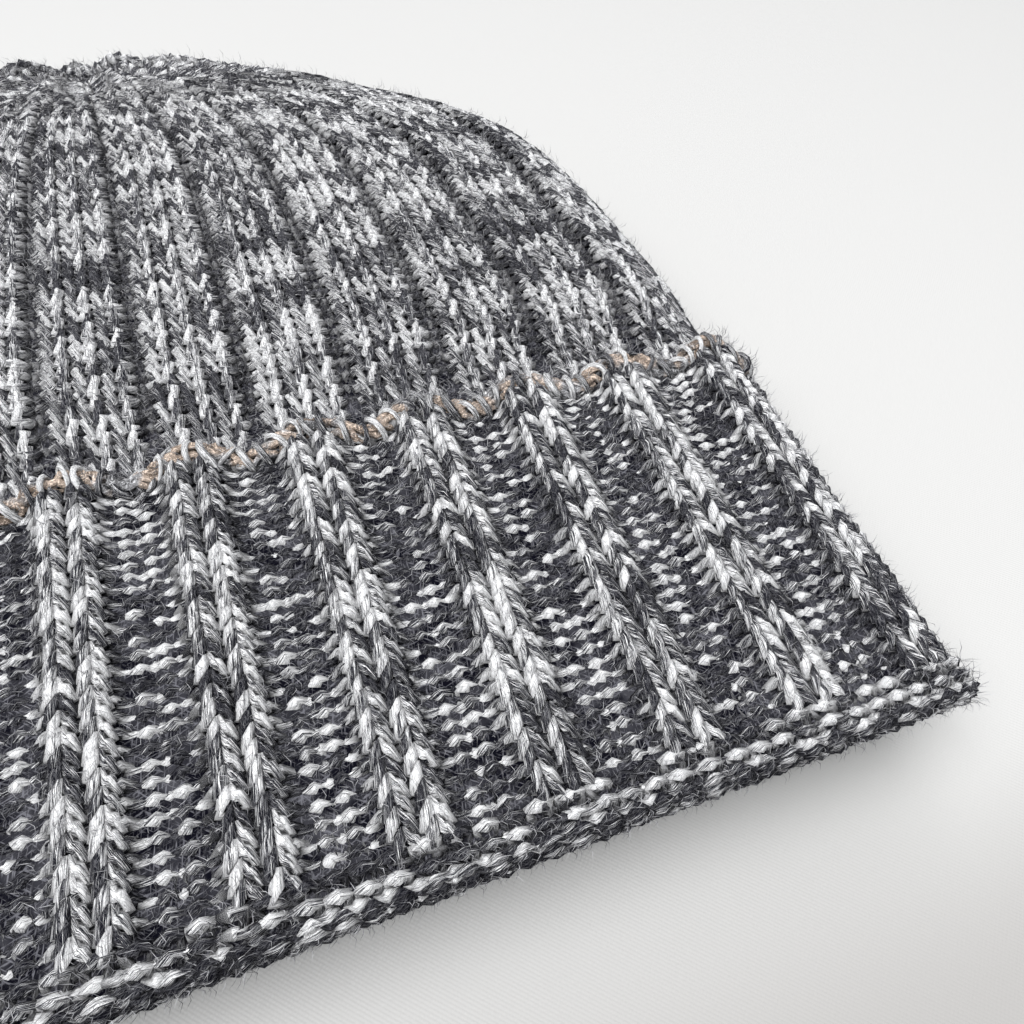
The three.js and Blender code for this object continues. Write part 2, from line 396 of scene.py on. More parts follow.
class Graph:
    """A node tree that is written as arithmetic."""

    def __init__(self, tree: bpy.types.NodeTree) -> None:
        """Keeps the tree."""
        self.tree = tree

    def node(self, kind: str, feeds: dict[str, object] | None = None, **settings: object) -> bpy.types.Node:
        """Adds a node.

        Args:
            kind: The node's type name.
            feeds: What goes into its sockets, by identifier or name.
            **settings: Its properties.

        Returns:
            The node.
        """
        node = self.tree.nodes.new(kind)
        for key, setting in settings.items():
            setattr(node, key, setting)
        for key, feed in (feeds or {}).items():
            known = [s for s in node.inputs if s.identifier == key and s.enabled]
            known += [s for s in node.inputs if s.name == key and s.enabled]
            self.feed(known[0], feed)
        return node

    def feed(self, socket: bpy.types.NodeSocket, feed: object) -> None:
        """Links a value into a socket, or sets the socket to a number."""
        if isinstance(feed, Value):
            self.tree.links.new(feed.socket, socket)
        elif isinstance(feed, bpy.types.NodeSocket):
            self.tree.links.new(feed, socket)
        else:
            socket.default_value = feed

    def out(self, node: bpy.types.Node, name: str | int = 0) -> Value:
        """An output of a node, by name or number."""
        if isinstance(name, int):
            return Value(self, [s for s in node.outputs if s.enabled][name])
        return Value(self, [s for s in node.outputs if s.enabled and s.name == name][0])

    def math(self, operation: str, *values: Number) -> Value:
        """A Math node's result."""
        node = self.tree.nodes.new("ShaderNodeMath")
        node.operation = operation
        for socket, feed in zip(node.inputs, values):
            self.feed(socket, feed)
        return Value(self, node.outputs[0])

    def sin(self, value: Number) -> Value:
        """Sine of an angle in radians."""
        return self.math("SINE", value)

    def cos(self, value: Number) -> Value:
        """Cosine of an angle in radians."""
        return self.math("COSINE", value)

    def floor(self, value: Number) -> Value:
        """Whole number below."""
        return self.math("FLOOR", value)

    def fract(self, value: Number) -> Value:
        """Part after the point."""
        return self.math("FRACT", value)

    def size(self, value: Number) -> Value:
        """Absolute value."""
        return self.math("ABSOLUTE", value)

    def clamp(self, value: Number, low: float, high: float) -> Value:
        """The value held between two limits."""
        return self.math("MINIMUM", self.math("MAXIMUM", value, low), high)

    def step(self, value: Number, low: Number, high: Number) -> Value:
        """Smooth step from 0 at low to 1 at high."""
        node = self.node(
            "ShaderNodeMapRange",
            {"Value": value, "From Min": low, "From Max": high, "To Min": 0.0, "To Max": 1.0},
            interpolation_type="SMOOTHSTEP",
        )
        return Value(self, node.outputs["Result"])

    def mix(self, share: Number, low: Number, high: Number) -> Value:
        """A number between two, by share."""
        return self.math("MULTIPLY_ADD", share, self.math("SUBTRACT", high, low), low)

    def vector(self, x: Number, y: Number, z: Number) -> Value:
        """A vector from three numbers."""
        node = self.node("ShaderNodeCombineXYZ", {"X": x, "Y": y, "Z": z})
        return Value(self, node.outputs[0])

    def split(self, value: Value) -> tuple[Value, Value, Value]:
        """A vector's three numbers."""
        node = self.node("ShaderNodeSeparateXYZ", {"Vector": value})
        return tuple(Value(self, s) for s in node.outputs)

    def vectors(self, operation: str, a: object, b: object) -> Value:
        """A Vector Math node's vector result."""
        node = self.node("ShaderNodeVectorMath", operation=operation)
        self.feed(node.inputs[0], a)
        if operation == "SCALE":
            self.feed(node.inputs["Scale"], b)
        elif b is not None:
            self.feed(node.inputs[1], b)
        return Value(self, node.outputs["Value" if operation == "DOT_PRODUCT" else "Vector"])

    def noise(self, place: Value, scale: Number, detail: float = 2.0, roughness: float = 0.5) -> Value:
        """Smooth noise about 0.5."""
        node = self.node(
            "ShaderNodeTexNoise",
            {"Vector": place, "Scale": scale, "Detail": detail, "Roughness": roughness},
        )
        return Value(self, node.outputs[0])

    def chance(self, place: Value) -> Value:
        """Even random numbers from 0 to 1, the same wherever place is the same."""
        node = self.node("ShaderNodeTexWhiteNoise", {"Vector": place}, noise_dimensions="3D")
        return Value(self, node.outputs["Value"])


class Weaver(Graph):
    """A Geometry Nodes tree with named inputs."""

    SOCKETS = {
        "int": "NodeSocketInt",
        "float": "NodeSocketFloat",
        "object": "NodeSocketObject",
        "material": "NodeSocketMaterial",
    }

    def __init__(self, name: str) -> None:
        """Starts the tree with its geometry in and out."""
        super().__init__(bpy.data.node_groups.new(name, "GeometryNodeTree"))
        self.tree.interface.new_socket("Geometry", in_out="INPUT", socket_type="NodeSocketGeometry")
        self.tree.interface.new_socket("Geometry", in_out="OUTPUT", socket_type="NodeSocketGeometry")
        self.entry = self.tree.nodes.new("NodeGroupInput")
        self.exit = self.tree.nodes.new("NodeGroupOutput")
        self.names: dict[str, str] = {}

    def socket(self, name: str, kind: str) -> Value:
        """Adds a named input of the tree and returns it."""
        made = self.tree.interface.new_socket(name, in_out="INPUT", socket_type=self.SOCKETS[kind])
        self.names[name] = made.identifier
        return Value(self, self.entry.outputs[name])

    def attribute(self, name: str, kind: str = "FLOAT") -> Value:
        """A named attribute as a field."""
        return self.out(self.node("GeometryNodeInputNamedAttribute", {"Name": name}, data_type=kind))

    def store(self, geometry: Value, name: str, value: object, kind: str = "FLOAT", domain: str = "POINT") -> Value:
        """Stores a field as a named attribute and returns the geometry."""
        node = self.node(
            "GeometryNodeStoreNamedAttribute",
            {"Geometry": geometry, "Name": name, "Value": value},
            data_type=kind,
            domain=domain,
        )
        return self.out(node)

    def sample(self, mesh: Value, value: Value, place: Value) -> Value:
        """A vector of the shell where its cloth map has the given place."""
        node = self.node(
            "GeometryNodeSampleUVSurface",
            {
                "Mesh": mesh,
                "Value": value,
                "Source UV Map": self.attribute("cloth", "FLOAT_VECTOR"),
                "Sample UV": place,
            },
            data_type="FLOAT_VECTOR",
        )
        return self.out(node)

    def finish(self, geometry: Value, material: Value) -> None:
        """Ends the tree: instances made real, and the material set."""
        real = self.out(self.node("GeometryNodeRealizeInstances", {"Geometry": geometry}))
        smooth = self.out(self.node("GeometryNodeSetShadeSmooth", {"Geometry": real}))
        dressed = self.out(self.node("GeometryNodeSetMaterial", {"Geometry": smooth, "Material": material}))
        self.feed(self.exit.inputs["Geometry"], dressed)


def grow(name: str, weaver: Weaver, start: bpy.types.Mesh, inputs: dict[str, object]) -> bpy.types.Object:
    """Runs a Geometry Nodes tree and keeps what it makes as a plain mesh.

    Args:
        name: The new object's name.
        weaver: The tree.
        start: The mesh that the tree starts from.
        inputs: Values of the tree's named inputs.

    Returns:
        The finished object.
    """
    seedling = bpy.data.objects.new(name + "_start", start)
    bpy.context.scene.collection.objects.link(seedling)
    modifier = seedling.modifiers.new("knit", "NODES")
    modifier.node_group = weaver.tree
    for key, setting in inputs.items():
        modifier[weaver.names[key]] = setting
    graph = bpy.context.evaluated_depsgraph_get()
    grown = seedling.evaluated_get(graph)
    mesh = bpy.data.meshes.new_from_object(grown, preserve_all_data_layers=True, depsgraph=graph)
    seedling.modifiers.remove(modifier)
    bpy.data.objects.remove(seedling)
    mesh.name = name
    piece = bpy.data.objects.new(name, mesh)
    bpy.context.scene.collection.objects.link(piece)
    return piece


# ---------------------------------------------------------------- finishes


class Wool(Enum):
    """The wools that the hat is made of, by the names of their materials."""

    MARL = "marl_yarn"
    FELTED = "felted_marl"
    BACKING = "painted_shade_backing"
    TAN = "tan_core"
    FIBRES = "loose_fibres"


@dataclass(frozen=True)
class MarlYarn:
    """Two twisted strands, one dark and one light, of soft wool with fine hairs along them."""

    name: str
    dark: tuple[float, float, float] = (0.004, 0.004, 0.008)
    grey: tuple[float, float, float] = (0.024, 0.024, 0.033)
    light: tuple[float, float, float] = (0.94, 0.94, 0.945)
    pitch: float = 17 * MM
    ply: float = 0.06
    streaks_round: float = 1.25
    streak_length: float = 3.6 * MM
    pale: tuple[float, float, float] = (0.4, 0.4, 0.43)
    hairs_round: float = 2.4
    hair_length: float = 1.5 * MM
    hair_width: float = 0.045
    hair_strength: float = 0.55
    filaments_round: float = 9.0
    filament_length: float = 2.6 * MM
    filament_share: float = 1.9
    bump: float = 0.9

    def material(self) -> bpy.types.Material:
        """The yarn's material. It reads how far each point is along and round its strand, its tone, and the painted
        shade that darkens its hollows.
        """
        material = bpy.data.materials.new(self.name)
        material.use_nodes = True
        graph = Graph(material.node_tree)
        shader = material.node_tree.nodes["Principled BSDF"]
        along = shader_attribute(graph, "along")
        tone = shader_attribute(graph, "tone")
        crest = shader_attribute(graph, "crest")
        ring = graph.split(Value(graph, graph.node("ShaderNodeAttribute", attribute_name="ring").outputs["Vector"]))
        angle = graph.math("ARCTAN2", ring[1], ring[0]) + along * (2 * math.pi / self.pitch)
        across, beside = graph.cos(angle), graph.sin(angle)

        def strands(turns: float, length: float, detail: float) -> Value:
            """Streaks that run along the yarn, narrower with more turns."""
            spot = graph.vector(across * turns, beside * turns, along / length)
            return graph.noise(spot, 1.0, detail, 0.6)

        streaks = strands(self.streaks_round, self.streak_length, 1.5)
        fibres = strands(self.filaments_round, self.filament_length, 2.0)
        ply = graph.cos(angle * 2)
        edge = streaks * 0.8 + 0.1 + ply * self.ply + (fibres - 0.5) * self.filament_share
        threshold = 0.86 - tone * 0.64
        white = graph.step(edge, threshold - 0.07, threshold + 0.09)
        haze = graph.step(edge, threshold - 0.22, threshold + 0.0)
        colour = mix_colour(graph, white, mix_colour(graph, haze, self.dark, self.grey), self.light)
        # shade: the fibre streaks' own light and dark, times painted shade in the hollows between loops.
        shade = graph.clamp(0.85 + (fibres - 0.4) * 1.2, 0.55, 1.06) * (0.05 + crest * 0.95)
        colour = scale_colour(graph, colour, shade)
        colour = self.haired(graph, colour, angle, along)
        graph.feed(shader.inputs["Base Color"], colour)
        shader.inputs["Roughness"].default_value = 0.92
        shader.inputs["Specular IOR Level"].default_value = 0.05
        height = fibres * 0.6 + streaks * 0.6
        bump = graph.node("ShaderNodeBump", {"Height": height, "Strength": self.bump, "Distance": 0.4 * MM})
        graph.feed(shader.inputs["Normal"], bump.outputs["Normal"])
        return material

    def haired(self, graph: Graph, colour: Value, angle: Value, along: Value) -> Value:
        """Lays fine dark and pale hairs over a colour, each layer on a slant of its own.

        Args:
            graph: The material's graph.
            colour: The colour under the hairs.
            angle: How far round the yarn each point is.
            along: How far along the yarn each point is.

        Returns:
            The colour with its hairs.
        """
        layers = (
            (900.0, self.dark, 1.0),
            (-700.0, self.pale, 0.35),
            (-1500.0, self.dark, 0.8),
            (400.0, self.pale, 0.3),
            (1800.0, self.pale, 0.3),
        )
        for number, (slant, tint, strength) in enumerate(layers):
            turned = angle + along * slant
            spot = graph.vector(
                graph.cos(turned) * self.hairs_round + number * 9.0,
                graph.sin(turned) * self.hairs_round,
                along / self.hair_length,
            )
            curl = graph.noise(spot, 1.0, 1.0, 0.5)
            hair = 1 - graph.step(graph.size(curl - 0.5), 0.0, self.hair_width)
            colour = mix_colour(graph, hair * (strength * self.hair_strength), colour, tint)
        return colour


@dataclass(frozen=True)
class SoftWool:
    """Soft wool with brushed hairs and flecks, for the core strands and the backing."""

    name: str
    low: tuple[float, float, float]
    high: tuple[float, float, float]
    flecks: tuple[float, float, float] = (0.2, 0.2, 0.22)
    fleck_from: float = 1.0
    hair_length: float = 2.2 * MM
    hair_width: float = 0.26 * MM

    def material(self) -> bpy.types.Material:
        """The wool's material, with hairs and flecks by noise on the object's own coordinates."""
        material = bpy.data.materials.new(self.name)
        material.use_nodes = True
        graph = Graph(material.node_tree)
        shader = material.node_tree.nodes["Principled BSDF"]
        place = Value(graph, graph.node("ShaderNodeTexCoord").outputs["Object"])
        hairs = self.hairs(graph, place)
        clouds = graph.noise(place, 300.0, 2.0, 0.5)
        share = graph.clamp(hairs * 0.85 + (clouds - 0.5) * 1.2 + 0.1, 0.0, 1.0)
        fleck = graph.step(graph.noise(place, 170.0, 2.0, 0.6), self.fleck_from - 0.06, self.fleck_from + 0.06)
        high = mix_colour(graph, fleck, self.high, self.flecks)
        low = mix_colour(graph, fleck, self.low, scale_colour(graph, self.flecks, 0.12))
        graph.feed(shader.inputs["Base Color"], mix_colour(graph, share, low, high))
        shader.inputs["Roughness"].default_value = 0.95
        shader.inputs["Specular IOR Level"].default_value = 0.05
        bump = graph.node("ShaderNodeBump", {"Height": share, "Strength": 0.7, "Distance": 0.4 * MM})
        graph.feed(shader.inputs["Normal"], bump.outputs["Normal"])
        return material

    def hairs(self, graph: Graph, place: Value) -> Value:
        """Fine pale hairs that cross each other in three directions.

        Args:
            graph: The material's graph.
            place: Where each point is on the object.

        Returns:
            How much hair shows at each point, from 0 to 1.
        """
        x, y, z = graph.split(place)
        shown = None
        for turn in (0.35, 1.4, 2.44):
            ahead = x * math.cos(turn) + y * math.sin(turn)
            aside = y * math.cos(turn) - x * math.sin(turn)
            spot = graph.vector(ahead / self.hair_length, aside / self.hair_width, z / self.hair_width)
            layer = graph.step(graph.noise(spot, 1.0, 2.0, 0.6), 0.54, 0.66)
            shown = layer if shown is None else graph.math("MAXIMUM", shown, layer)
        return shown


@dataclass(frozen=True)
class LooseFibres:
    """Single fibres, each in its own shade of grey."""

    name: str
    low: tuple[float, float, float] = (0.008, 0.008, 0.014)
    high: tuple[float, float, float] = (0.52, 0.52, 0.54)

    def material(self) -> bpy.types.Material:
        """The fibres' material, by the shade that each fibre carries."""
        material = bpy.data.materials.new(self.name)
        material.use_nodes = True
        graph = Graph(material.node_tree)
        shader = material.node_tree.nodes["Principled BSDF"]
        tone = shader_attribute(graph, "tone")
        graph.feed(shader.inputs["Base Color"], mix_colour(graph, tone, self.low, self.high))
        shader.inputs["Roughness"].default_value = 0.85
        shader.inputs["Specular IOR Level"].default_value = 0.1
        return material


@dataclass(frozen=True)
class TableCloth:
    """The pale surface that the hat lies on.

    It is darker in a band in front of the hat, painted shade where the light falls off.
    The band's distances from the hat's middle, in metres, are where it starts, where it is full,
    where it starts to fade and where it ends.
    """

    name: str = "pale_table"
    colour: tuple[float, float, float] = (0.46, 0.457, 0.45)
    # front: the cloth's colour in the band, darkened as painted shade.
    front: tuple[float, float, float] = (0.312, 0.304, 0.296)
    band: tuple[float, float, float, float] = (0.1, 0.14, 0.2, 0.7)

    def material(self) -> bpy.types.Material:
        """A pale, fine-woven cloth, with painted shade in a band in front of the hat."""
        material = bpy.data.materials.new(self.name)
        material.use_nodes = True
        graph = Graph(material.node_tree)
        shader = material.node_tree.nodes["Principled BSDF"]
        place = Value(graph, graph.node("ShaderNodeTexCoord").outputs["Object"])
        x, y, _ = graph.split(place)
        weave = graph.sin(x * 9000.0) * graph.sin(y * 9000.0)
        ahead = y * -1.0
        start, full, fade, end = self.band
        # Painted shade: the colour darkens in the band in front of the hat.
        near = graph.step(ahead, start, full) * (1 - graph.step(ahead, fade, end))
        graph.feed(shader.inputs["Base Color"], mix_colour(graph, near, self.colour, self.front))
        shader.inputs["Roughness"].default_value = 0.9
        bump = graph.node("ShaderNodeBump", {"Height": weave, "Strength": 0.22, "Distance": 0.1 * MM})
        graph.feed(shader.inputs["Normal"], bump.outputs["Normal"])
        return material


def finishes() -> dict[Wool, bpy.types.Material]:
    """The material of each wool."""
    felted = {"hair_strength": 0.75, "hairs_round": 3.2, "filament_share": 2.2, "bump": 1.1}
    # The backing's near-black colours are painted shade: they stand for the shadow in the gaps between the loops.
    backing = {"low": (0.002, 0.002, 0.005), "high": (0.11, 0.11, 0.125)}
    tan = {"low": (0.13, 0.1, 0.08), "high": (0.82, 0.67, 0.56)}
    flecks = {"flecks": (0.62, 0.62, 0.64), "fleck_from": 0.54}
    return {
        Wool.MARL: MarlYarn(Wool.MARL.value).material(),
        Wool.FELTED: MarlYarn(Wool.FELTED.value, **felted).material(),
        Wool.BACKING: SoftWool(Wool.BACKING.value, **backing).material(),
        Wool.TAN: SoftWool(Wool.TAN.value, **tan, **flecks).material(),
        Wool.FIBRES: LooseFibres(Wool.FIBRES.value).material(),
    }


def shader_attribute(graph: Graph, name: str) -> Value:
    """A named number of the mesh, for a shader."""
    return Value(graph, graph.node("ShaderNodeAttribute", attribute_name=name).outputs["Fac"])


def mix_colour(graph: Graph, share: Value, low: object, high: object) -> Value:
    """A colour between two, by share."""
    node = graph.node("ShaderNodeMix", data_type="RGBA", clamp_factor=True)
    graph.feed(node.inputs[0], share)
    for socket, colour in ((node.inputs[6], low), (node.inputs[7], high)):
        graph.feed(socket, (*colour, 1.0) if isinstance(colour, tuple) else colour)
    return Value(graph, node.outputs[2])


def scale_colour(graph: Graph, colour: Value, share: Value) -> Value:
    """A colour made darker or lighter by a factor."""
    return graph.vectors("SCALE", colour, share)


# ---------------------------------------------------------------- the knitting


def knit_weaver() -> Weaver:
    """The tree that lays courses of knitted loops on a shell.

    It starts from one point for each course, which carries its place along the shell (course_v),
    its height (course_step), its rib share, its light share, its loop share and its dip.

    Returns:
        The tree, with its inputs.
    """
    w = Weaver("knitted_courses")
    shell = w.socket("Shell", "object")
    stitches = w.socket("Stitches", "int")
    samples = w.socket("Samples", "int")
    repeat = w.socket("Stitches in a repeat", "int")
    knit = w.socket("Raised wales", "int")
    knit_width = w.socket("Raised wale width", "float")
    rib_centre = w.socket("Rib centre", "float")
    rib_height = w.socket("Rib height", "float")
    loop_height = w.socket("Loop height", "float")
    loop_depth = w.socket("Loop depth", "float")
    neck = w.socket("Neck", "float")
    draw = w.socket("Drawn in", "float")
    radius = w.socket("Yarn radius", "float")
    sides = w.socket("Yarn sides", "int")
    patch = w.socket("Patchiness", "float")
    painted_channel_shade = w.socket("Channel shade", "float")
    seed = w.socket("Seed", "float")
    material = w.socket("Material", "material")

    count = stitches * samples
    ring = w.out(w.node("GeometryNodeCurvePrimitiveCircle", {"Resolution": count}, mode="RADIUS"))
    placed = w.out(w.node("GeometryNodeInstanceOnPoints", {"Points": Value(w, w.entry.outputs[0]), "Instance": ring}))
    courses = w.out(w.node("GeometryNodeRealizeInstances", {"Geometry": placed}))

    course = w.attribute("course")
    k = w.out(w.node("GeometryNodeInputIndex")) % count
    x = k / samples
    stitch = w.floor(x)
    turn = x * (2 * math.pi)
    rib = w.attribute("rib")
    half = knit / 2

    def from_rib(place: Value) -> Value:
        """Distance in stitches from the middle of the nearest rib."""
        return w.size((place - knit / 2 + repeat / 2) % repeat - repeat / 2)

    face = w.mix(rib, -1.0, 1 - 2 * w.step(from_rib(x), half - 0.22, half + 0.22))
    random_a = w.chance(w.vector(stitch, course, seed))
    random_b = w.chance(w.vector(stitch + 0.37, course + 11.0, seed))
    wander = w.noise(w.vector(x * 0.31, course * 0.43, seed), 1.0, 2.0, 0.6) - 0.5
    spread = neck * (1.3 + face * 0.14)
    xs = x + w.sin(turn * 2) * spread + w.sin(turn) * draw + wander * 0.22

    q = xs % repeat
    group = w.floor(xs / repeat)
    span = knit * knit_width
    in_rib = q * knit_width
    in_ground = span + (q - knit) * ((1 - span) / (repeat - knit))
    share = w.mix(q < knit, in_ground, in_rib)
    u = w.fract((group + share + rib_centre - span / 2) / (stitches / repeat))
    u = w.clamp(u, 0.0002, 0.9998)

    near = from_rib(xs)
    runs = w.noise(w.vector(x * 0.45, course * 1.9, seed + 9.0), 1.0, 2.0, 0.6)
    relief = -1 * rib_height * rib * w.step(near, half - 0.15, half + 0.5)
    loops = w.attribute("loops")
    ground = 0.5 - face * 0.5
    weave = (-1 * w.cos(turn * 2) * face + (w.cos(turn) - 1) * ground * 0.22) * loop_depth * loops
    uneven = (random_a - 0.5) * 0.22 * MM + wander * 0.5 * MM
    plump = w.step(-1 * w.cos(turn * 2) * face, -0.6, 0.9)
    plump = plump + w.cos(turn) * ground * 0.25
    thick = radius * (0.78 - face * 0.03 + plump * 0.27 + (runs - 0.5) * 0.4 + (random_a - 0.5) * 0.16)
    thick = thick * (0.55 + loops * 0.45)
    rise = relief + weave + uneven - (radius + loop_depth)

    dip = w.attribute("dip") * w.sin(near * math.pi / repeat) ** 2.0
    climb = (w.cos(turn) - w.cos(turn * 3) * (0.14 - face * 0.06)) * loop_height * loops * (1 + face * 0.18)
    v = w.attribute("course_v") + w.attribute("course_step") * (
        (random_b - 0.5) * 0.16 + wander * 0.25 - climb
    )
    v = w.clamp(v + dip, 0.0005, 0.9995)

    surface = w.out(w.node("GeometryNodeObjectInfo", {"Object": shell}), "Geometry")
    place = w.vector(u, v, 0.0)
    position = w.sample(surface, w.out(w.node("GeometryNodeInputPosition")), place)
    outward = w.sample(surface, w.attribute("out", "FLOAT_VECTOR"), place)
    spot = w.split(w.vectors("ADD", position, w.vectors("SCALE", outward, rise)))
    spot = w.vector(spot[0], spot[1], w.math("MAXIMUM", spot[2], thick))
    laid = w.out(w.node("GeometryNodeSetPosition", {"Geometry": courses, "Position": spot}))

    grain = w.floor(x * 2 + 0.25 - face * 0.25)
    random_c = w.chance(w.vector(grain, course + 3.0, seed))
    patches = w.noise(w.vector(group * 0.62, course * 0.42, seed + 5.0), 1.0, 1.0, 0.5)
    single = 1.1 - face * 0.2
    # The purl ground's tone is a little lower: partly its dark strand showing, partly painted shade in the recess.
    tone = 0.5 + (patches - 0.5) * 2.6 * patch + (runs - 0.5) * 0.8 + (random_c - 0.5) * single - ground * 0.06
    tone = w.clamp(tone + w.attribute("light"), 0.0, 1.0)
    laid = w.store(laid, "tone", tone)
    # Painted shade: 1 on the loops' crests, falling towards 0 where the loops dip down, so that the yarn's colour is
    # darker there.
    shown = w.step(weave, loop_depth * -0.75, loop_depth * 0.7)
    # Painted shade in the channels: the recessed ground is darkened further, the deeper it lies.
    shown = shown * (1 + relief / w.math("MAXIMUM", rib_height, 0.1 * MM) * painted_channel_shade)
    laid = w.store(laid, "crest", shown)
    laid = w.store(laid, "along", w.out(w.node("GeometryNodeSplineParameter"), "Length") + course * 0.0173)
    laid = w.store(laid, "outward", outward, "FLOAT_VECTOR")
    tangent = w.out(w.node("GeometryNodeInputTangent"))
    lean = w.vectors("SCALE", tangent, w.vectors("DOT_PRODUCT", outward, tangent))
    upright = w.vectors("NORMALIZE", w.vectors("SUBTRACT", outward, lean), None)
    laid = w.out(w.node("GeometryNodeSetCurveNormal", {"Curve": laid, "Normal": upright}, mode="FREE"))
    profile = w.out(w.node("GeometryNodeCurvePrimitiveCircle", {"Resolution": sides, "Radius": 1.0}, mode="RADIUS"))
    profile = w.store(profile, "ring", w.out(w.node("GeometryNodeInputPosition")), "FLOAT_VECTOR")
    yarn = w.out(
        w.node("GeometryNodeCurveToMesh", {"Curve": laid, "Profile Curve": profile, "Scale": thick})
    )
    w.finish(yarn, material)
    return w


@dataclass
class Course:
    """One round of stitches."""

    v: float
    step: float
    number: float
    rib: float = 1.0
    light: float = 0.0
    loops: float = 1.0
    dip: float = 0.0


@dataclass
class RibPattern:
    """How a repeat of the rib is made up, and how its loops are formed."""

    stitches: int
    raised: int
    width: float
    centre: float
    height: float
    loop_height: float = 0.92
    loop_depth: float = 0.5 * MM
    neck: float = 0.22
    draw: float = 0.045
    radius: float = 0.82 * MM
    patch: float = 1.0
    # Painted shade: how much the recessed ground between the ribs is darkened.
    painted_channel_shade: float = 0.12

    def knit(
        self,
        name: str,
        weaver: Weaver,
        shell: Shell,
        courses: Sequence[Course],
        material: bpy.types.Material,
        repeats: int,
        seed: float,
        samples: int = 8,
        sides: int = 4,
    ) -> bpy.types.Object:
        """Knits a band of courses on a shell.

        Args:
            name: The piece's name.
            weaver: The knitting tree.
            shell: The sheet that the loops follow.
            courses: The rounds, in knitting order.
            material: The yarn's material.
            repeats: Rib repeats round the hat.
            seed: Seed for the uneven loops and shades.
            samples: Points to a stitch.
            sides: Sides of the yarn.

        Returns:
            The knitted piece.
        """
        count = repeats * self.stitches
        piece = grow(
            name,
            weaver,
            course_points(name, courses),
            {
                "Shell": shell.sheet,
                "Stitches": count,
                "Samples": samples,
                "Stitches in a repeat": self.stitches,
                "Raised wales": self.raised,
                "Raised wale width": self.width,
                "Rib centre": self.centre,
                "Rib height": self.height,
                "Loop height": self.loop_height,
                "Loop depth": self.loop_depth,
                "Neck": self.neck,
                "Drawn in": self.draw,
                "Yarn radius": self.radius,
                "Yarn sides": sides,
                "Patchiness": self.patch,
                "Channel shade": self.painted_channel_shade,
                "Seed": seed,
                "Material": material,
            },
        )
        unwrap_courses(piece, len(courses), count * samples, sides)
        return piece


def course_points(name: str, courses: Sequence[Course]) -> bpy.types.Mesh:
    """A mesh of one point for each course, with the course's values.

    Args:
        name: The mesh's name.
        courses: The courses.

    Returns:
        The mesh.
    """
    mesh = bpy.data.meshes.new(name + "_courses")
    mesh.from_pydata([(0.0, 0.0, 0.01 * i) for i in range(len(courses))], [], [])
    values = {
        "course_v": [c.v for c in courses],
        "course_step": [c.step for c in courses],
        "course": [c.number for c in courses],
        "rib": [c.rib for c in courses],
        "light": [c.light for c in courses],
        "loops": [c.loops for c in courses],
        "dip": [c.dip for c in courses],
    }
    for key, numbers in values.items():
        mesh.attributes.new(key, "FLOAT", "POINT").data.foreach_set("value", numbers)
    return mesh


def unwrap_courses(piece: bpy.types.Object, courses: int, points: int, sides: int) -> None:
    """Gives a knitted piece a UV map with a straight strip for each course.

    Args:
        piece: The piece.
        courses: How many rounds it has.
        points: Points along each round.
        sides: Sides of the yarn.
    """
    mesh = piece.data
    corners = np.zeros(len(mesh.loops), int)
    mesh.loops.foreach_get("vertex_index", corners)
    starts = np.zeros(len(mesh.polygons), int)
    totals = np.zeros(len(mesh.polygons), int)
    mesh.polygons.foreach_get("loop_start", starts)
    mesh.polygons.foreach_get("loop_total", totals)
    if len(mesh.vertices) != courses * points * sides or not (totals == 4).all():
        raise ValueError(f"{piece.name}: the yarn isn't {courses} rounds of {points} by {sides}")
    quads = corners.reshape(-1, 4)
    course = quads // (points * sides)
    along = quads % (points * sides) // sides
    around = quads % sides
    along = np.where((np.ptp(along, axis=1) > 1)[:, None] & (along == 0), points, along)
    around = np.where((np.ptp(around, axis=1) > 1)[:, None] & (around == 0), sides, around)
    u = along / points
    v = (course + 0.04 + 0.92 * around / sides) / courses
    layer = mesh.uv_layers.new(name="OFBake")
    layer.data.foreach_set("uv", np.stack([u, v], -1).ravel())


def join(name: str, pieces: Sequence[bpy.types.Object]) -> bpy.types.Object:
    """Makes one piece of several.

    Args:
        name: The joined piece's name.
        pieces: The pieces, which share their materials.

    Returns:
        The joined piece.
    """
    bpy.ops.object.select_all(action="DESELECT")
    for piece in pieces:
        piece.select_set(True)
    bpy.context.view_layer.objects.active = pieces[0]
    bpy.ops.object.join()
    pieces[0].name = name
    pieces[0].data.name = name
    return pieces[0]


def stack_uv(pieces: Sequence[bpy.types.Object]) -> None:
    """Moves the UV maps of several pieces into strips, one above the other."""
    weights = [len(p.data.polygons) for p in pieces]
    total = float(sum(weights))
    start = 0.0
    for piece, weight in zip(pieces, weights):
        layer = piece.data.uv_layers["OFBake"]
        uv = np.zeros(len(layer.data) * 2)
        layer.data.foreach_get("uv", uv)
        uv = uv.reshape(-1, 2)
        uv[:, 1] = start + uv[:, 1] * weight / total
        layer.data.foreach_set("uv", uv.ravel())
        start += weight / total


# ---------------------------------------------------------------- the cuff


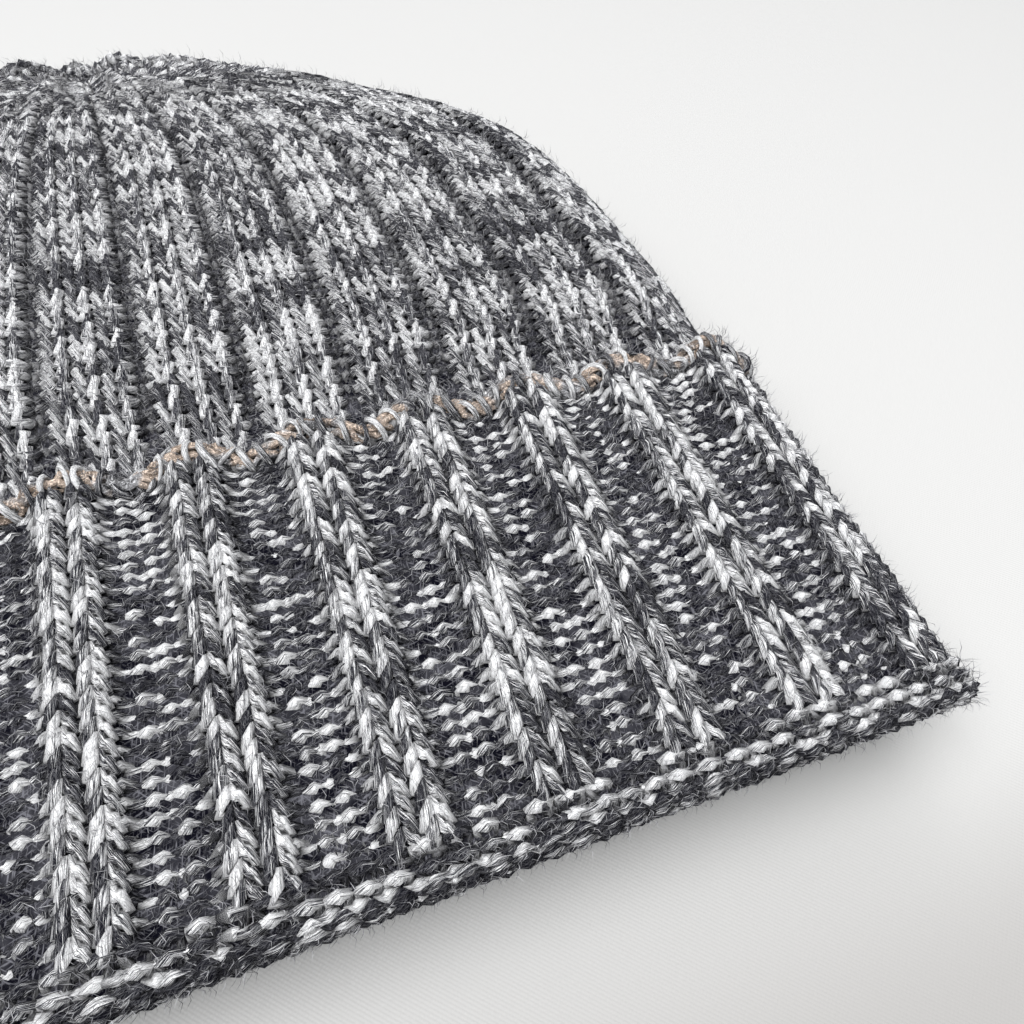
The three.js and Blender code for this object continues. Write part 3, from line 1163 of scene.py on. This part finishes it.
@dataclass
class Cuff:
    """The turned-up cuff: ribs outside, the fold, and the first rounds inside."""

    shape: HatShape
    row_height: float = 2.15 * MM
    first_row: float = 2.0 * MM
    rows: int = 30
    inner_depth: float = 62 * MM
    rib_height: float = 1.9 * MM

    def shell(self) -> Shell:
        """The cuff's face, from the cast-on edge down, round the fold and up inside."""
        s = self.shape
        top = s.cuff_height - 2 * MM
        outer = [(y, 0.0) for y in np.linspace(top, s.fold_radius, 60)]
        turns = np.linspace(0.0, np.pi, 24)[1:]
        fold = [(s.fold_radius * (1 - math.sin(a)), s.fold_radius * (1 - math.cos(a))) for a in turns]
        inner = [(y, 2 * s.fold_radius) for y in np.linspace(s.fold_radius, self.inner_depth, 40)[1:]]
        path = np.array(outer + fold + inner)
        round_share = np.linspace(0.0, 1.0, 521)
        points = s.cuff_point(path[:, :1], round_share[None, :], path[:, 1:])
        length = np.concatenate([[0.0], np.cumsum(np.hypot(*np.diff(path, axis=0).T))])
        self.length = float(length[-1])
        self.fold_at = top - s.fold_radius
        return Shell("cuff_shell", points, length / length[-1])

    def courses(self) -> tuple[list[Course], list[Course]]:
        """The cuff's rounds outside, and the rounds of the fold and inside."""
        step = self.row_height / self.length
        outside = []
        count = self.rows
        for i in range(count):
            down = self.first_row + i * self.row_height
            dip = self.shape.edge_dip * math.exp(-down / (14 * MM)) / self.length
            outside.append(Course(down / self.length, step, float(i), dip=dip))
        fold = []
        table = (
            (-2.0, 0.25, -0.12, 0.9),
            (-0.1, 0.0, 0.16, 0.75),
            (1.9, 0.0, -0.4, 0.5),
            (3.7, 0.0, -0.4, 0.5),
            (5.6, 0.0, -0.35, 0.55),
            (7.9, 0.0, -0.2, 0.8),
            (10.5, 0.0, 0.0, 1.0),
            (12.6, 0.6, 0.0, 1.0),
            (14.7, 1.0, 0.0, 1.0),
            (16.8, 1.0, 0.0, 1.0),
            (18.9, 1.0, 0.0, 1.0),
        )
        for i, (past, rib, light, loops) in enumerate(table):
            v = (self.fold_at + past * MM) / self.length
            fold.append(Course(v, step, float(count + i), rib=rib, light=light, loops=loops))
        return outside, fold

    def build(
        self, weaver: Weaver, yarn: bpy.types.Material, backing: bpy.types.Material
    ) -> list[bpy.types.Object]:
        """Knits the cuff.

        Args:
            weaver: The knitting tree.
            yarn: The yarn's material.
            backing: The backing's material.

        Returns:
            The cuff's pieces.
        """
        shell = self.shell()
        outside, fold = self.courses()
        pattern = RibPattern(5, 2, 0.225, 0.5, self.rib_height, 0.78, 0.5 * MM, radius=0.8 * MM, patch=0.5)
        half = len(outside) // 2
        repeats = self.shape.repeats
        upper = pattern.knit("cuff_knit_upper", weaver, shell, outside[:half], yarn, repeats, 3.0)
        lower = pattern.knit("cuff_knit_lower", weaver, shell, outside[half:], yarn, repeats, 3.0)
        turned = pattern.knit("cuff_fold", weaver, shell, fold, yarn, repeats, 4.0)
        shell.discard()
        return [upper, lower, turned, self.backing(backing)]

    def backing(self, material: bpy.types.Material) -> bpy.types.Object:
        """The solid cloth behind the cuff's loops, so that no light shows through them."""
        s = self.shape
        per_repeat = 8
        u = np.arange(s.repeats * per_repeat) / (s.repeats * per_repeat)
        ground = 0.5 - 0.5 * np.cos(2 * np.pi * (u * s.repeats - 0.5))
        deep = 1.7 * MM + ground**0.6 * 1.1 * MM
        top = s.cuff_height - 4.5 * MM - s.edge_dip * np.sin(np.pi * (u * s.repeats - 0.5)) ** 2
        loops = []
        for share in (1.0, 0.75, 0.5, 0.25, 0.08):
            loops.append((s.fold_radius + share * (top - s.fold_radius), deep))
        for degrees in (0, 45, 90, 135, 180):
            a = math.radians(degrees)
            inner = 1.8 * MM
            loops.append((s.fold_radius - inner * math.sin(a) + 0 * u, s.fold_radius - inner * math.cos(a) + 0 * u))
        low = 2 * s.fold_radius - 1.9 * MM
        loops.append((0 * u + 27 * MM, 0 * u + low))
        loops.append((0 * u + 27 * MM, 0 * u + s.fold_radius + 0.35 * MM))
        loops.append((0 * u + s.fold_radius, 0 * u + s.fold_radius + 0.35 * MM))
        loops.append((0 * u + s.fold_radius - 0.3 * MM, 0 * u + s.fold_radius))
        loops.append((0 * u + s.fold_radius, 0 * u + s.fold_radius - 0.3 * MM))
        loops.append((top, 0 * u + s.fold_radius - 0.3 * MM))
        points = np.stack([s.cuff_point(y, u, depth) for y, depth in loops])
        return closed_sweep("cuff_backing", points, material)


def closed_sweep(name: str, points: Rows, material: bpy.types.Material) -> bpy.types.Object:
    """A closed ring-shaped solid from a grid of points that closes both ways.

    Args:
        name: The piece's name.
        points: The grid, with the section first and the way round second.
        material: Its material.

    Returns:
        The piece.
    """
    rows, columns = points.shape[:2]
    index = np.arange(rows * columns).reshape(rows, columns)
    below, beside = np.roll(index, -1, 0), np.roll(index, -1, 1)
    corner = np.roll(below, -1, 1)
    quads = np.stack([index, beside, corner, below], -1).reshape(-1, 4)
    return solid(name, points.reshape(-1, 3), quads.tolist(), material)


def solid(name: str, points: Rows, faces: Sequence[Sequence[int]], material: bpy.types.Material) -> bpy.types.Object:
    """A smooth closed mesh, turned so that its faces point outwards.

    Args:
        name: The piece's name.
        points: Its corners.
        faces: The corners of each face.
        material: Its material.

    Returns:
        The piece.
    """
    mesh = bpy.data.meshes.new(name)
    mesh.from_pydata(points.tolist(), [], [list(f) for f in faces])
    mesh.validate()
    volume = 0.0
    for polygon in mesh.polygons:
        corners = [mesh.vertices[i].co for i in polygon.vertices]
        for b, c in zip(corners[1:], corners[2:]):
            volume += corners[0].dot(b.cross(c))
    if volume < 0:
        mesh.flip_normals()
    mesh.polygons.foreach_set("use_smooth", [True] * len(mesh.polygons))
    mesh.materials.append(material)
    piece = bpy.data.objects.new(name, mesh)
    bpy.context.scene.collection.objects.link(piece)
    return piece


# ---------------------------------------------------------------- the cast-on edge


@dataclass
class CastOnEdge:
    """The scalloped cast-on edge: a tan core of thin strands, wrapped by pale loops."""

    shape: HatShape
    height: float = 3.4 * MM
    core_radius: float = 0.62 * MM
    core_offset: float = 1.15 * MM
    core_turns: int = 39
    core_strands: int = 5
    wrap_radius: float = 1.95 * MM
    wrap_yarn: float = 0.48 * MM
    wraps_per_repeat: int = 7
    steps_per_repeat: int = 22

    def line(self, u: Rows) -> tuple[Rows, Rows, Rows]:
        """The edge's middle line.

        Args:
            u: Shares of the way round.

        Returns:
            Its points, the outward directions and the directions across it.
        """
        s = self.shape
        rise = (0.5 - 0.5 * np.cos(2 * np.pi * u * s.repeats)) ** 0.8
        y = s.cuff_height - self.height / 2 - s.edge_dip * (1 - rise)
        depth = 1.45 * MM + 1.1 * MM * (1 - rise)
        middle = s.cuff_point(y, u, depth)
        outer = s.cuff_point(y, u, depth - 0.5 * MM)
        outward = outer - middle
        outward /= np.linalg.norm(outward, axis=-1, keepdims=True)
        ahead = np.roll(middle, -1, 0) - np.roll(middle, 1, 0)
        across = np.cross(ahead, outward)
        across /= np.linalg.norm(across, axis=-1, keepdims=True)
        return middle, outward, across

    def start(self, name: str, count: int, strands: int, shift: float = 0.0) -> bpy.types.Mesh:
        """Closed rings of points along the edge, one for each strand.

        Args:
            name: The mesh's name.
            count: Points in a ring.
            strands: How many rings.
            shift: How far the first point is from the middle, as a share of the way round.

        Returns:
            The mesh.
        """
        u = np.arange(count) / count + shift
        middle, outward, across = self.line(u)
        ring = [(i, (i + 1) % count) for i in range(count)]
        mesh = bpy.data.meshes.new(name)
        edges = [(a + k * count, b + k * count) for k in range(strands) for a, b in ring]
        mesh.from_pydata(np.tile(middle, (strands, 1)).tolist(), edges, [])
        values = {"share": np.tile(u, strands), "strand": np.repeat(np.arange(strands) / strands, count)}
        for key, numbers in values.items():
            mesh.attributes.new(key, "FLOAT", "POINT").data.foreach_set("value", numbers)
        for key, numbers in (("outward", outward), ("across", across)):
            layer = mesh.attributes.new(key, "FLOAT_VECTOR", "POINT")
            layer.data.foreach_set("vector", np.tile(numbers, (strands, 1)).ravel())
        return mesh

    def core(self, material: bpy.types.Material) -> bpy.types.Object:
        """The tan core: thin strands that wander round each other."""
        count = self.shape.repeats * self.steps_per_repeat
        w = Weaver("edge_core")
        offset = w.socket("Strand offset", "float")
        radius = w.socket("Strand radius", "float")
        turns = w.socket("Turns", "int")
        dress = w.socket("Material", "material")
        outward, across = w.attribute("outward", "FLOAT_VECTOR"), w.attribute("across", "FLOAT_VECTOR")
        share, strand = w.attribute("share"), w.attribute("strand")
        ahead = share * (2 * math.pi)
        stray = w.noise(w.vector(w.cos(ahead) * 22.0, w.sin(ahead) * 22.0, strand * 9.0), 1.0, 2.0, 0.6)
        angle = (share * turns + strand) * (2 * math.pi) + (stray - 0.5) * 9.0
        spread = offset * (0.6 + stray * 0.8)
        push = w.vectors("SCALE", outward, w.cos(angle) * spread)
        aside = w.vectors("SCALE", across, w.sin(angle) * spread)
        moved = w.node(
            "GeometryNodeSetPosition",
            {"Geometry": Value(w, w.entry.outputs[0]), "Offset": w.vectors("ADD", push, aside)},
        )
        curves = w.out(w.node("GeometryNodeMeshToCurve", {"Mesh": w.out(moved)}))
        ring = w.node("GeometryNodeCurvePrimitiveCircle", {"Resolution": 4, "Radius": 1.0}, mode="RADIUS")
        uneven = w.noise(w.vector(w.cos(ahead) * 40.0, w.sin(ahead) * 40.0, strand * 7.0), 1.0)
        tube = w.node(
            "GeometryNodeCurveToMesh",
            {"Curve": curves, "Profile Curve": w.out(ring), "Scale": radius * (0.6 + uneven * 0.8)},
        )
        w.finish(w.out(tube), dress)
        inputs = {
            "Strand offset": self.core_offset,
            "Strand radius": self.core_radius,
            "Turns": self.core_turns,
            "Material": material,
        }
        piece = grow("edge_core", w, self.start("edge_core", count, self.core_strands), inputs)
        unwrap_courses(piece, self.core_strands, count, 4)
        return piece

    def wraps(self, material: bpy.types.Material) -> bpy.types.Object:
        """The pale loops round the core, each a tilted ring of yarn."""
        w = Weaver("edge_wraps")
        radius = w.socket("Loop radius", "float")
        yarn = w.socket("Yarn radius", "float")
        seed = w.socket("Seed", "int")
        dress = w.socket("Material", "material")
        outward, across = w.attribute("outward", "FLOAT_VECTOR"), w.attribute("across", "FLOAT_VECTOR")
        along = w.vectors("CROSS_PRODUCT", outward, across)
        tilt = w.node(
            "FunctionNodeRandomValue",
            {"Min": (-0.8, -0.6, -0.8), "Max": (0.8, 0.6, 0.8), "Seed": seed},
            data_type="FLOAT_VECTOR",
        )
        aim = w.node(
            "FunctionNodeAlignRotationToVector", {"Vector": w.vectors("ADD", along, w.out(tilt))}, axis="Z"
        )
        loop = w.node("GeometryNodeCurvePrimitiveCircle", {"Resolution": 12, "Radius": radius}, mode="RADIUS")
        ring = w.node("GeometryNodeCurvePrimitiveCircle", {"Resolution": 4, "Radius": 1.0}, mode="RADIUS")
        profile = w.store(w.out(ring), "ring", w.out(w.node("GeometryNodeInputPosition")), "FLOAT_VECTOR")
        length = w.out(w.node("GeometryNodeSplineParameter"), "Length")
        path = w.store(w.out(loop), "along", length)
        hoop = w.out(w.node("GeometryNodeCurveToMesh", {"Curve": path, "Profile Curve": profile, "Scale": yarn}))
        size = w.node(
            "FunctionNodeRandomValue",
            {"Min": (0.8, 0.8, 0.6), "Max": (1.2, 1.2, 1.4), "Seed": seed},
            data_type="FLOAT_VECTOR",
        )
        placed = w.node(
            "GeometryNodeInstanceOnPoints",
            {
                "Points": Value(w, w.entry.outputs[0]),
                "Instance": hoop,
                "Rotation": w.out(aim),
                "Scale": w.out(size),
            },
        )
        shade = w.node("FunctionNodeRandomValue", {"Min_001": 0.1, "Max_001": 1.1, "Seed": seed}, data_type="FLOAT")
        toned = w.store(w.out(placed), "tone", w.out(shade), domain="INSTANCE")
        # The edge's loops carry no painted shade: they are lit in full.
        lit = w.store(toned, "crest", 1.0, domain="INSTANCE")
        lit = w.store(lit, "outward", outward, "FLOAT_VECTOR", domain="INSTANCE")
        w.finish(lit, dress)
        count = self.shape.repeats * self.wraps_per_repeat
        inputs = {"Loop radius": self.wrap_radius, "Yarn radius": self.wrap_yarn, "Seed": 5, "Material": material}
        piece = grow("edge_wraps", w, self.start("edge_wraps", count, 1, 0.0031), inputs)
        unwrap_courses(piece, count, 12, 4)
        return piece

    def build(self, yarn: bpy.types.Material, core: bpy.types.Material) -> list[bpy.types.Object]:
        """Makes the edge.

        Args:
            yarn: The yarn's material.
            core: The tan core's material.

        Returns:
            The edge's pieces.
        """
        return [self.core(core), self.wraps(yarn)]


# ---------------------------------------------------------------- loose fibres


@dataclass
class Fuzz:
    """Short loose fibres that grow out of the yarn, each a thin curved needle.

    The densities are in fibres to a square metre of yarn.
    """

    length: float = 2.4 * MM
    thickness: float = 0.045 * MM
    bow: float = 0.6 * MM
    floor_clear: float = 2.5 * MM
    cuff_density: float = 430000.0
    fold_density: float = 1150000.0
    crown_density: float = 285000.0
    edge_density: float = 3400000.0

    def needle(self) -> bpy.types.Object:
        """One fibre: a closed three-sided needle that bends in the middle."""
        spots = [(0.0, 0.0, 0.0)]
        for k in range(3):
            a = 2 * math.pi * k / 3
            across, beside = self.thickness * math.cos(a), self.thickness * math.sin(a)
            spots.append((self.bow + across, beside, 0.5 * self.length))
        spots.append((0.0, 0.0, self.length))
        faces = [(0, 2, 1), (0, 3, 2), (0, 1, 3), (4, 1, 2), (4, 2, 3), (4, 3, 1)]
        mesh = bpy.data.meshes.new("fibre")
        mesh.from_pydata(spots, [], faces)
        fibre = bpy.data.objects.new("fibre", mesh)
        bpy.context.scene.collection.objects.link(fibre)
        return fibre

    def weaver(self) -> Weaver:
        """The tree that scatters fibres on a piece's outward faces."""
        w = Weaver("loose_fibres")
        fibre = w.socket("Fibre", "object")
        density = w.socket("Fibres to a square metre", "float")
        seed = w.socket("Seed", "int")
        clear = w.socket("Clear of the table", "float")
        dress = w.socket("Material", "material")
        outward = w.attribute("outward", "FLOAT_VECTOR")
        normal = w.out(w.node("GeometryNodeInputNormal"))
        facing = w.vectors("DOT_PRODUCT", outward, normal)
        height = w.split(w.out(w.node("GeometryNodeInputPosition")))[2]
        upward = w.split(outward)[2]
        shown = w.mix(w.step(upward, -0.6, 0.1), 0.3, 1.0) * w.math("GREATER_THAN", height, clear)
        factor = shown * w.math("GREATER_THAN", facing, 0.35)
        scattered = w.node(
            "GeometryNodeDistributePointsOnFaces",
            {"Mesh": Value(w, w.entry.outputs[0]), "Density": density * factor, "Seed": seed},
            distribute_method="RANDOM",
        )
        stray = w.node(
            "FunctionNodeRandomValue",
            {"Min": (-1.0, -1.0, -1.0), "Max": (1.0, 1.0, 1.0), "Seed": seed},
            data_type="FLOAT_VECTOR",
        )
        lift = w.vectors("SCALE", outward, 0.3)
        aim = w.node(
            "FunctionNodeAlignRotationToVector", {"Vector": w.vectors("ADD", lift, w.out(stray))}, axis="Z"
        )
        size = w.node(
            "FunctionNodeRandomValue",
            {"Min": (0.5, 0.6, 0.35), "Max": (1.4, 1.2, 1.35), "Seed": seed},
            data_type="FLOAT_VECTOR",
        )
        placed = w.node(
            "GeometryNodeInstanceOnPoints",
            {
                "Points": w.out(scattered),
                "Instance": w.out(w.node("GeometryNodeObjectInfo", {"Object": fibre}), "Geometry"),
                "Rotation": w.out(aim),
                "Scale": w.out(size),
            },
        )
        shade = w.node("FunctionNodeRandomValue", {"Min_001": 0.0, "Max_001": 1.0, "Seed": seed}, data_type="FLOAT")
        toned = w.store(w.out(placed), "tone", w.out(shade), domain="INSTANCE")
        w.finish(toned, dress)
        return w

    def grow(
        self,
        name: str,
        weaver: Weaver,
        fibre: bpy.types.Object,
        carriers: Sequence[bpy.types.Object],
        density: float,
        seed: int,
        material: bpy.types.Material,
    ) -> bpy.types.Object:
        """Grows fibres on several pieces and joins them.

        Args:
            name: The fibres' name.
            weaver: The scattering tree.
            fibre: The fibre that is repeated.
            carriers: The pieces that they grow on.
            density: Fibres to a square metre.
            seed: Seed for their places.
            material: Their material.

        Returns:
            The fibres as one piece.
        """
        tufts = []
        for number, carrier in enumerate(carriers):
            inputs = {
                "Fibre": fibre,
                "Fibres to a square metre": density,
                "Seed": seed + number,
                "Clear of the table": self.floor_clear,
                "Material": material,
            }
            tufts.append(grow(f"{name}_{number}", weaver, carrier.data.copy(), inputs))
        piece = join(name, tufts)
        unwrap_fibres(piece)
        return piece


def unwrap_fibres(piece: bpy.types.Object) -> None:
    """Gives each fibre its own small cell of the UV map.

    Args:
        piece: The joined fibres, of six faces each.
    """
    mesh = piece.data
    corners = np.zeros(len(mesh.loops), int)
    mesh.loops.foreach_get("vertex_index", corners)
    number, spot = corners // 5, corners % 5
    side = max(1, math.ceil(math.sqrt(len(mesh.vertices) / 5)))
    level = np.array([0.1, 0.5, 0.5, 0.5, 0.9])[spot]
    beside = np.array([0.5, 0.15, 0.5, 0.85, 0.5])[spot]
    uv = np.stack([(number % side + beside) / side, (number // side + level) / side], -1)
    layer = mesh.uv_layers.new(name="OFBake")
    layer.data.foreach_set("uv", uv.ravel())


# ---------------------------------------------------------------- the crown


@dataclass
class Crown:
    """The crown: wide ribs that narrow and run together at the gathered tip."""

    shape: HatShape
    row_height: float = 2.5 * MM
    rib_height: float = 1.7 * MM
    start: float = 1.95

    def shell(self) -> Shell:
        """The crown's face, from just inside the cuff to the tip."""
        s = self.shape
        last = len(s.crown_sections()) - 1
        t = np.linspace(self.start, last, 261)
        share = np.linspace(0.0, 1.0, 521)
        points = s.crown_point(t[:, None], share[None, :])
        steps = np.linalg.norm(np.diff(points[:, ::65], axis=0), axis=-1).mean(1)
        length = np.concatenate([[0.0], np.cumsum(steps)])
        self.length = float(length[-1])
        self.along = length / length[-1]
        self.sections = t
        return Shell("crown_shell", points, self.along)

    def courses(self) -> list[tuple[int, list[Course]]]:
        """The crown's rounds, in groups with the same number of stitches to a repeat."""
        step = self.row_height / self.length
        count = int(self.length / self.row_height)
        groups: list[tuple[int, list[Course]]] = []
        for i in range(count):
            v = (i + 0.6) / count
            t = float(np.interp(v, self.along, self.sections))
            stitches = 5 if t < 7.5 else 4 if t < 9.0 else 3 if t < 10.4 else 2 if t < 12.4 else 1
            rib = float(np.interp(t, [9.0, 12.0], [1.0, 0.0]))
            if not groups or groups[-1][0] != stitches:
                groups.append((stitches, []))
            groups[-1][1].append(Course(v, step, 40.0 + i, rib=max(rib, 0.35)))
        return groups

    def build(
        self, weaver: Weaver, yarn: bpy.types.Material, backing: bpy.types.Material
    ) -> list[bpy.types.Object]:
        """Knits the crown.

        Args:
            weaver: The knitting tree.
            yarn: The yarn's material.
            backing: The backing's material.

        Returns:
            The crown's pieces.
        """
        shell = self.shell()
        lag = 1 - self.shape.crown_lag
        repeats = self.shape.repeats
        wide = {"loop_height": 0.84, "neck": 0.165, "radius": 0.98 * MM, "painted_channel_shade": 0.75, "patch": 0.72}
        patterns = {
            5: RibPattern(5, 3, 0.275, lag, self.rib_height, **wide),
            4: RibPattern(4, 3, 0.285, lag, self.rib_height * 0.9, **wide),
            3: RibPattern(3, 2, 0.42, lag, self.rib_height * 0.7, 0.8, painted_channel_shade=0.5),
            2: RibPattern(2, 1, 0.7, lag, self.rib_height * 0.5, 0.8, radius=1.15 * MM),
            1: RibPattern(1, 1, 0.98, lag, 0.0, 0.8, radius=1.1 * MM, neck=0.15),
        }
        pieces = []
        tops = []
        for stitches, courses in self.courses():
            pattern = patterns[stitches]
            if stitches == 5:
                half = (len(courses) + 1) // 2
                pieces.append(pattern.knit("crown_knit_lower", weaver, shell, courses[:half], yarn, repeats, 7.0, 6))
                pieces.append(pattern.knit("crown_knit_upper", weaver, shell, courses[half:], yarn, repeats, 7.0, 6))
            else:
                tops.append(pattern.knit(f"crown_top_{stitches}", weaver, shell, courses, yarn, repeats, 8.0, 6))
        shell.discard()
        stack_uv(tops)
        pieces.append(join("crown_top", tops))
        pieces.append(self.backing(backing))
        return pieces

    def backing(self, material: bpy.types.Material) -> bpy.types.Object:
        """The solid cloth behind the crown's loops, hollow and open towards the mouth."""
        s = self.shape
        per_repeat = 6
        r = np.arange(s.repeats * per_repeat) / (s.repeats * per_repeat)
        last = len(s.crown_sections()) - 1
        outer_t = np.concatenate([[0.0, 1.0, 2.0, 3.0], np.arange(3.5, last + 0.01, 0.5)])
        inner_t = np.concatenate([[0.0, 1.0, 2.0, 3.0], np.arange(4.0, last - 2.9, 1.0)])
        ground = 0.5 - 0.5 * np.cos(2 * np.pi * (r * s.repeats - 0.5 + s.crown_lag + 0.5))
        ribs = 1.75 * MM + ground**3 * 1.15 * MM
        shown = np.clip((outer_t - 3.0) / 0.8, 0.0, 1.0)[:, None] * np.clip((12.5 - outer_t) / 3, 0.0, 1.0)[:, None]
        deep = np.where(outer_t[:, None] < 3.0, 0.1 * MM, 1.75 * MM + (ribs[None, :] - 1.75 * MM) * shown)
        outer = self.inset(outer_t, r, deep)
        inner = self.inset(inner_t, r, np.full((len(inner_t), len(r)), 3.1 * MM))
        tip = outer[-1].mean(0) - np.array([0.0, 0.0, 2.2 * MM])
        heart = inner[-1].mean(0)
        rows = np.concatenate([inner[::-1].reshape(-1, 3), outer.reshape(-1, 3), [heart, tip]])
        columns = len(r)
        total = len(inner_t) + len(outer_t)
        index = np.arange(total * columns).reshape(total, columns)
        quads = np.stack(
            [index[:-1], np.roll(index, -1, 1)[:-1], np.roll(index, -1, 1)[1:], index[1:]], -1
        ).reshape(-1, 4)
        faces = quads.tolist()
        for k in range(columns):
            faces.append([total * columns, int(index[0, (k + 1) % columns]), int(index[0, k])])
            faces.append([total * columns + 1, int(index[-1, k]), int(index[-1, (k + 1) % columns])])
        return solid("crown_backing", rows, faces, material)

    def inset(self, t: Rows, r: Rows, depth: Rows) -> Rows:
        """Points below the crown's face.

        Args:
            t: Sections.
            r: Shares of the repeats round the hat.
            depth: How deep each point lies, with a row for each section.

        Returns:
            The points.
        """
        s = self.shape
        last = len(s.crown_sections()) - 1
        grid = s.crown_point(t[:, None], r[None, :])
        ahead = s.crown_point(np.minimum(t + 0.02, last)[:, None], r[None, :])
        behind = s.crown_point(np.maximum(t - 0.02, 0.0)[:, None], r[None, :])
        along = ahead - behind
        around = s.crown_point(t[:, None], r[None, :] + 0.001) - s.crown_point(t[:, None], r[None, :] - 0.001)
        normal = np.cross(around, along)
        normal /= np.linalg.norm(normal, axis=-1, keepdims=True)
        return grid - normal * depth[..., None]


# ---------------------------------------------------------------- the stage


@dataclass
class Studio:
    """The table, the lights and the camera at the photograph's angle.

    The lens and the sensor are in millimetres and the powers in watts.
    """

    shape: HatShape
    eye: tuple[float, float, float] = (20.35 * MM, -24.0 * MM, 120.0 * MM)
    right: tuple[float, float, float] = (0.9373, -0.3454, 0.0467)
    up: tuple[float, float, float] = (0.2429, 0.7434, 0.6231)
    lens: float = 29.85
    sensor: float = 36.0
    table_reach: float = 3.0
    room_strength: float = 0.62
    key_power: float = 20.0
    fill_power: float = 6.0

    def build(self) -> None:
        """Sets up the camera, the table and the lights."""
        self.camera()
        self.table()
        self.lights()

    def camera(self) -> None:
        """Places the camera where the photograph was taken from."""
        data = bpy.data.cameras.new("photo_view")
        data.lens = self.lens
        data.sensor_width = self.sensor
        data.clip_start = 0.005
        camera = bpy.data.objects.new("photo_view", data)
        right, up = Vector(self.right).normalized(), Vector(self.up).normalized()
        back = right.cross(up)
        turn = Matrix((right, up, back)).transposed().to_4x4()
        place = Vector((self.eye[0], self.eye[1] + self.shape.fold_y, self.eye[2]))
        camera.matrix_world = Matrix.Translation(place) @ turn
        bpy.context.scene.collection.objects.link(camera)
        bpy.context.scene.camera = camera

    def table(self) -> None:
        """Lays the pale table under the hat."""
        mesh = bpy.data.meshes.new("table")
        reach = self.table_reach
        corners = [(-reach, -reach, 0), (reach, -reach, 0), (reach, reach, 0), (-reach, reach, 0)]
        mesh.from_pydata(corners, [], [(0, 1, 2, 3)])
        mesh.materials.append(TableCloth().material())
        table = bpy.data.objects.new("table", mesh)
        table.location.z = -0.0003
        bpy.context.scene.collection.objects.link(table)

    def lights(self) -> None:
        """Hangs soft lamps above the hat, and lights the room evenly."""
        bpy.context.scene.view_settings.view_transform = "Standard"
        world = bpy.data.worlds.new("room")
        world.use_nodes = True
        background = world.node_tree.nodes["Background"]
        background.inputs["Color"].default_value = (0.95, 0.97, 1.0, 1.0)
        background.inputs["Strength"].default_value = self.room_strength
        bpy.context.scene.world = world
        self.lamp("key", (-0.4, -0.28, 1.05), 0.9, self.key_power)
        self.lamp("fill", (0.5, 0.3, 1.0), 1.0, self.fill_power)

    def lamp(self, name: str, place: tuple[float, float, float], size: float, power: float) -> None:
        """Hangs one square soft lamp.

        Args:
            name: Its name.
            place: Where it hangs. It faces the hat.
            size: Its side.
            power: Its power in watts.
        """
        data = bpy.data.lights.new(name, "AREA")
        data.size = size
        data.energy = power
        lamp = bpy.data.objects.new(name, data)
        lamp.location = place
        lamp.rotation_euler = (Vector((0, 0, 0)) - Vector(place)).to_track_quat("-Z", "Y").to_euler()
        bpy.context.scene.collection.objects.link(lamp)


def measure() -> HatShape:
    """The hat's sizes, read from its solids."""
    low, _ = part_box("turned_cuff")
    _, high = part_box("crown")
    return HatShape(fold_y=low[1], hat_length=high[1] - low[1], crown_height=high[2])


def report(pieces: Sequence[bpy.types.Object]) -> None:
    """Logs each piece with its number of triangles."""
    for piece in pieces:
        triangles = sum(len(p.vertices) - 2 for p in piece.data.polygons)
        LOG.info("%s: %d triangles", piece.name, triangles)


def rest_on_table(piece: bpy.types.Object) -> None:
    """Presses the underside of a piece flat where it would sink into the table."""
    mesh = piece.data
    spots = np.zeros(len(mesh.vertices) * 3)
    mesh.vertices.foreach_get("co", spots)
    spots[2::3] = np.maximum(spots[2::3], 0.0)
    mesh.vertices.foreach_set("co", spots)
    mesh.update()


def place(pieces: Sequence[bpy.types.Object], node: str, slot: str) -> None:
    """Ties pieces to the hat's body, presses them flat on the table and hides the solid that they stand for.

    Args:
        pieces: The pieces.
        node: The solid that they stand for.
        slot: Not used.
    """
    for piece in pieces:
        rest_on_table(piece)
        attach(piece, "root")
        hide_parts(node)


def main() -> None:
    """Builds the hat and its stage."""
    logging.basicConfig(level=logging.INFO, format="%(name)s: %(message)s")
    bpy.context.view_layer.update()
    shape = measure()
    Studio(shape).build()
    wools = finishes()
    yarn, backing, fibres = wools[Wool.MARL], wools[Wool.BACKING], wools[Wool.FIBRES]
    weaver = knit_weaver()
    cuff = Cuff(shape).build(weaver, yarn, backing)
    crown = Crown(shape).build(weaver, wools[Wool.FELTED], backing)
    edge = CastOnEdge(shape).build(yarn, wools[Wool.TAN])
    fuzz = Fuzz()
    scatter, fibre = fuzz.weaver(), fuzz.needle()
    cuff.append(fuzz.grow("cuff_fibres", scatter, fibre, cuff[:2], fuzz.cuff_density, 1, fibres))
    cuff.append(fuzz.grow("fold_fibres", scatter, fibre, cuff[2:3], fuzz.fold_density, 5, fibres))
    crown.append(fuzz.grow("crown_fibres", scatter, fibre, crown[:3], fuzz.crown_density, 11, fibres))
    edge.append(fuzz.grow("edge_fibres", scatter, fibre, edge[1:2], fuzz.edge_density, 21, fibres))
    bpy.data.objects.remove(fibre)
    place(cuff, "turned_cuff", "marl_rib")
    place(crown, "crown", "marl_knit")
    place(edge, "cast_on_edge", "tan_edge")
    report(cuff + crown + edge)


if __name__ == "__main__":
    main()
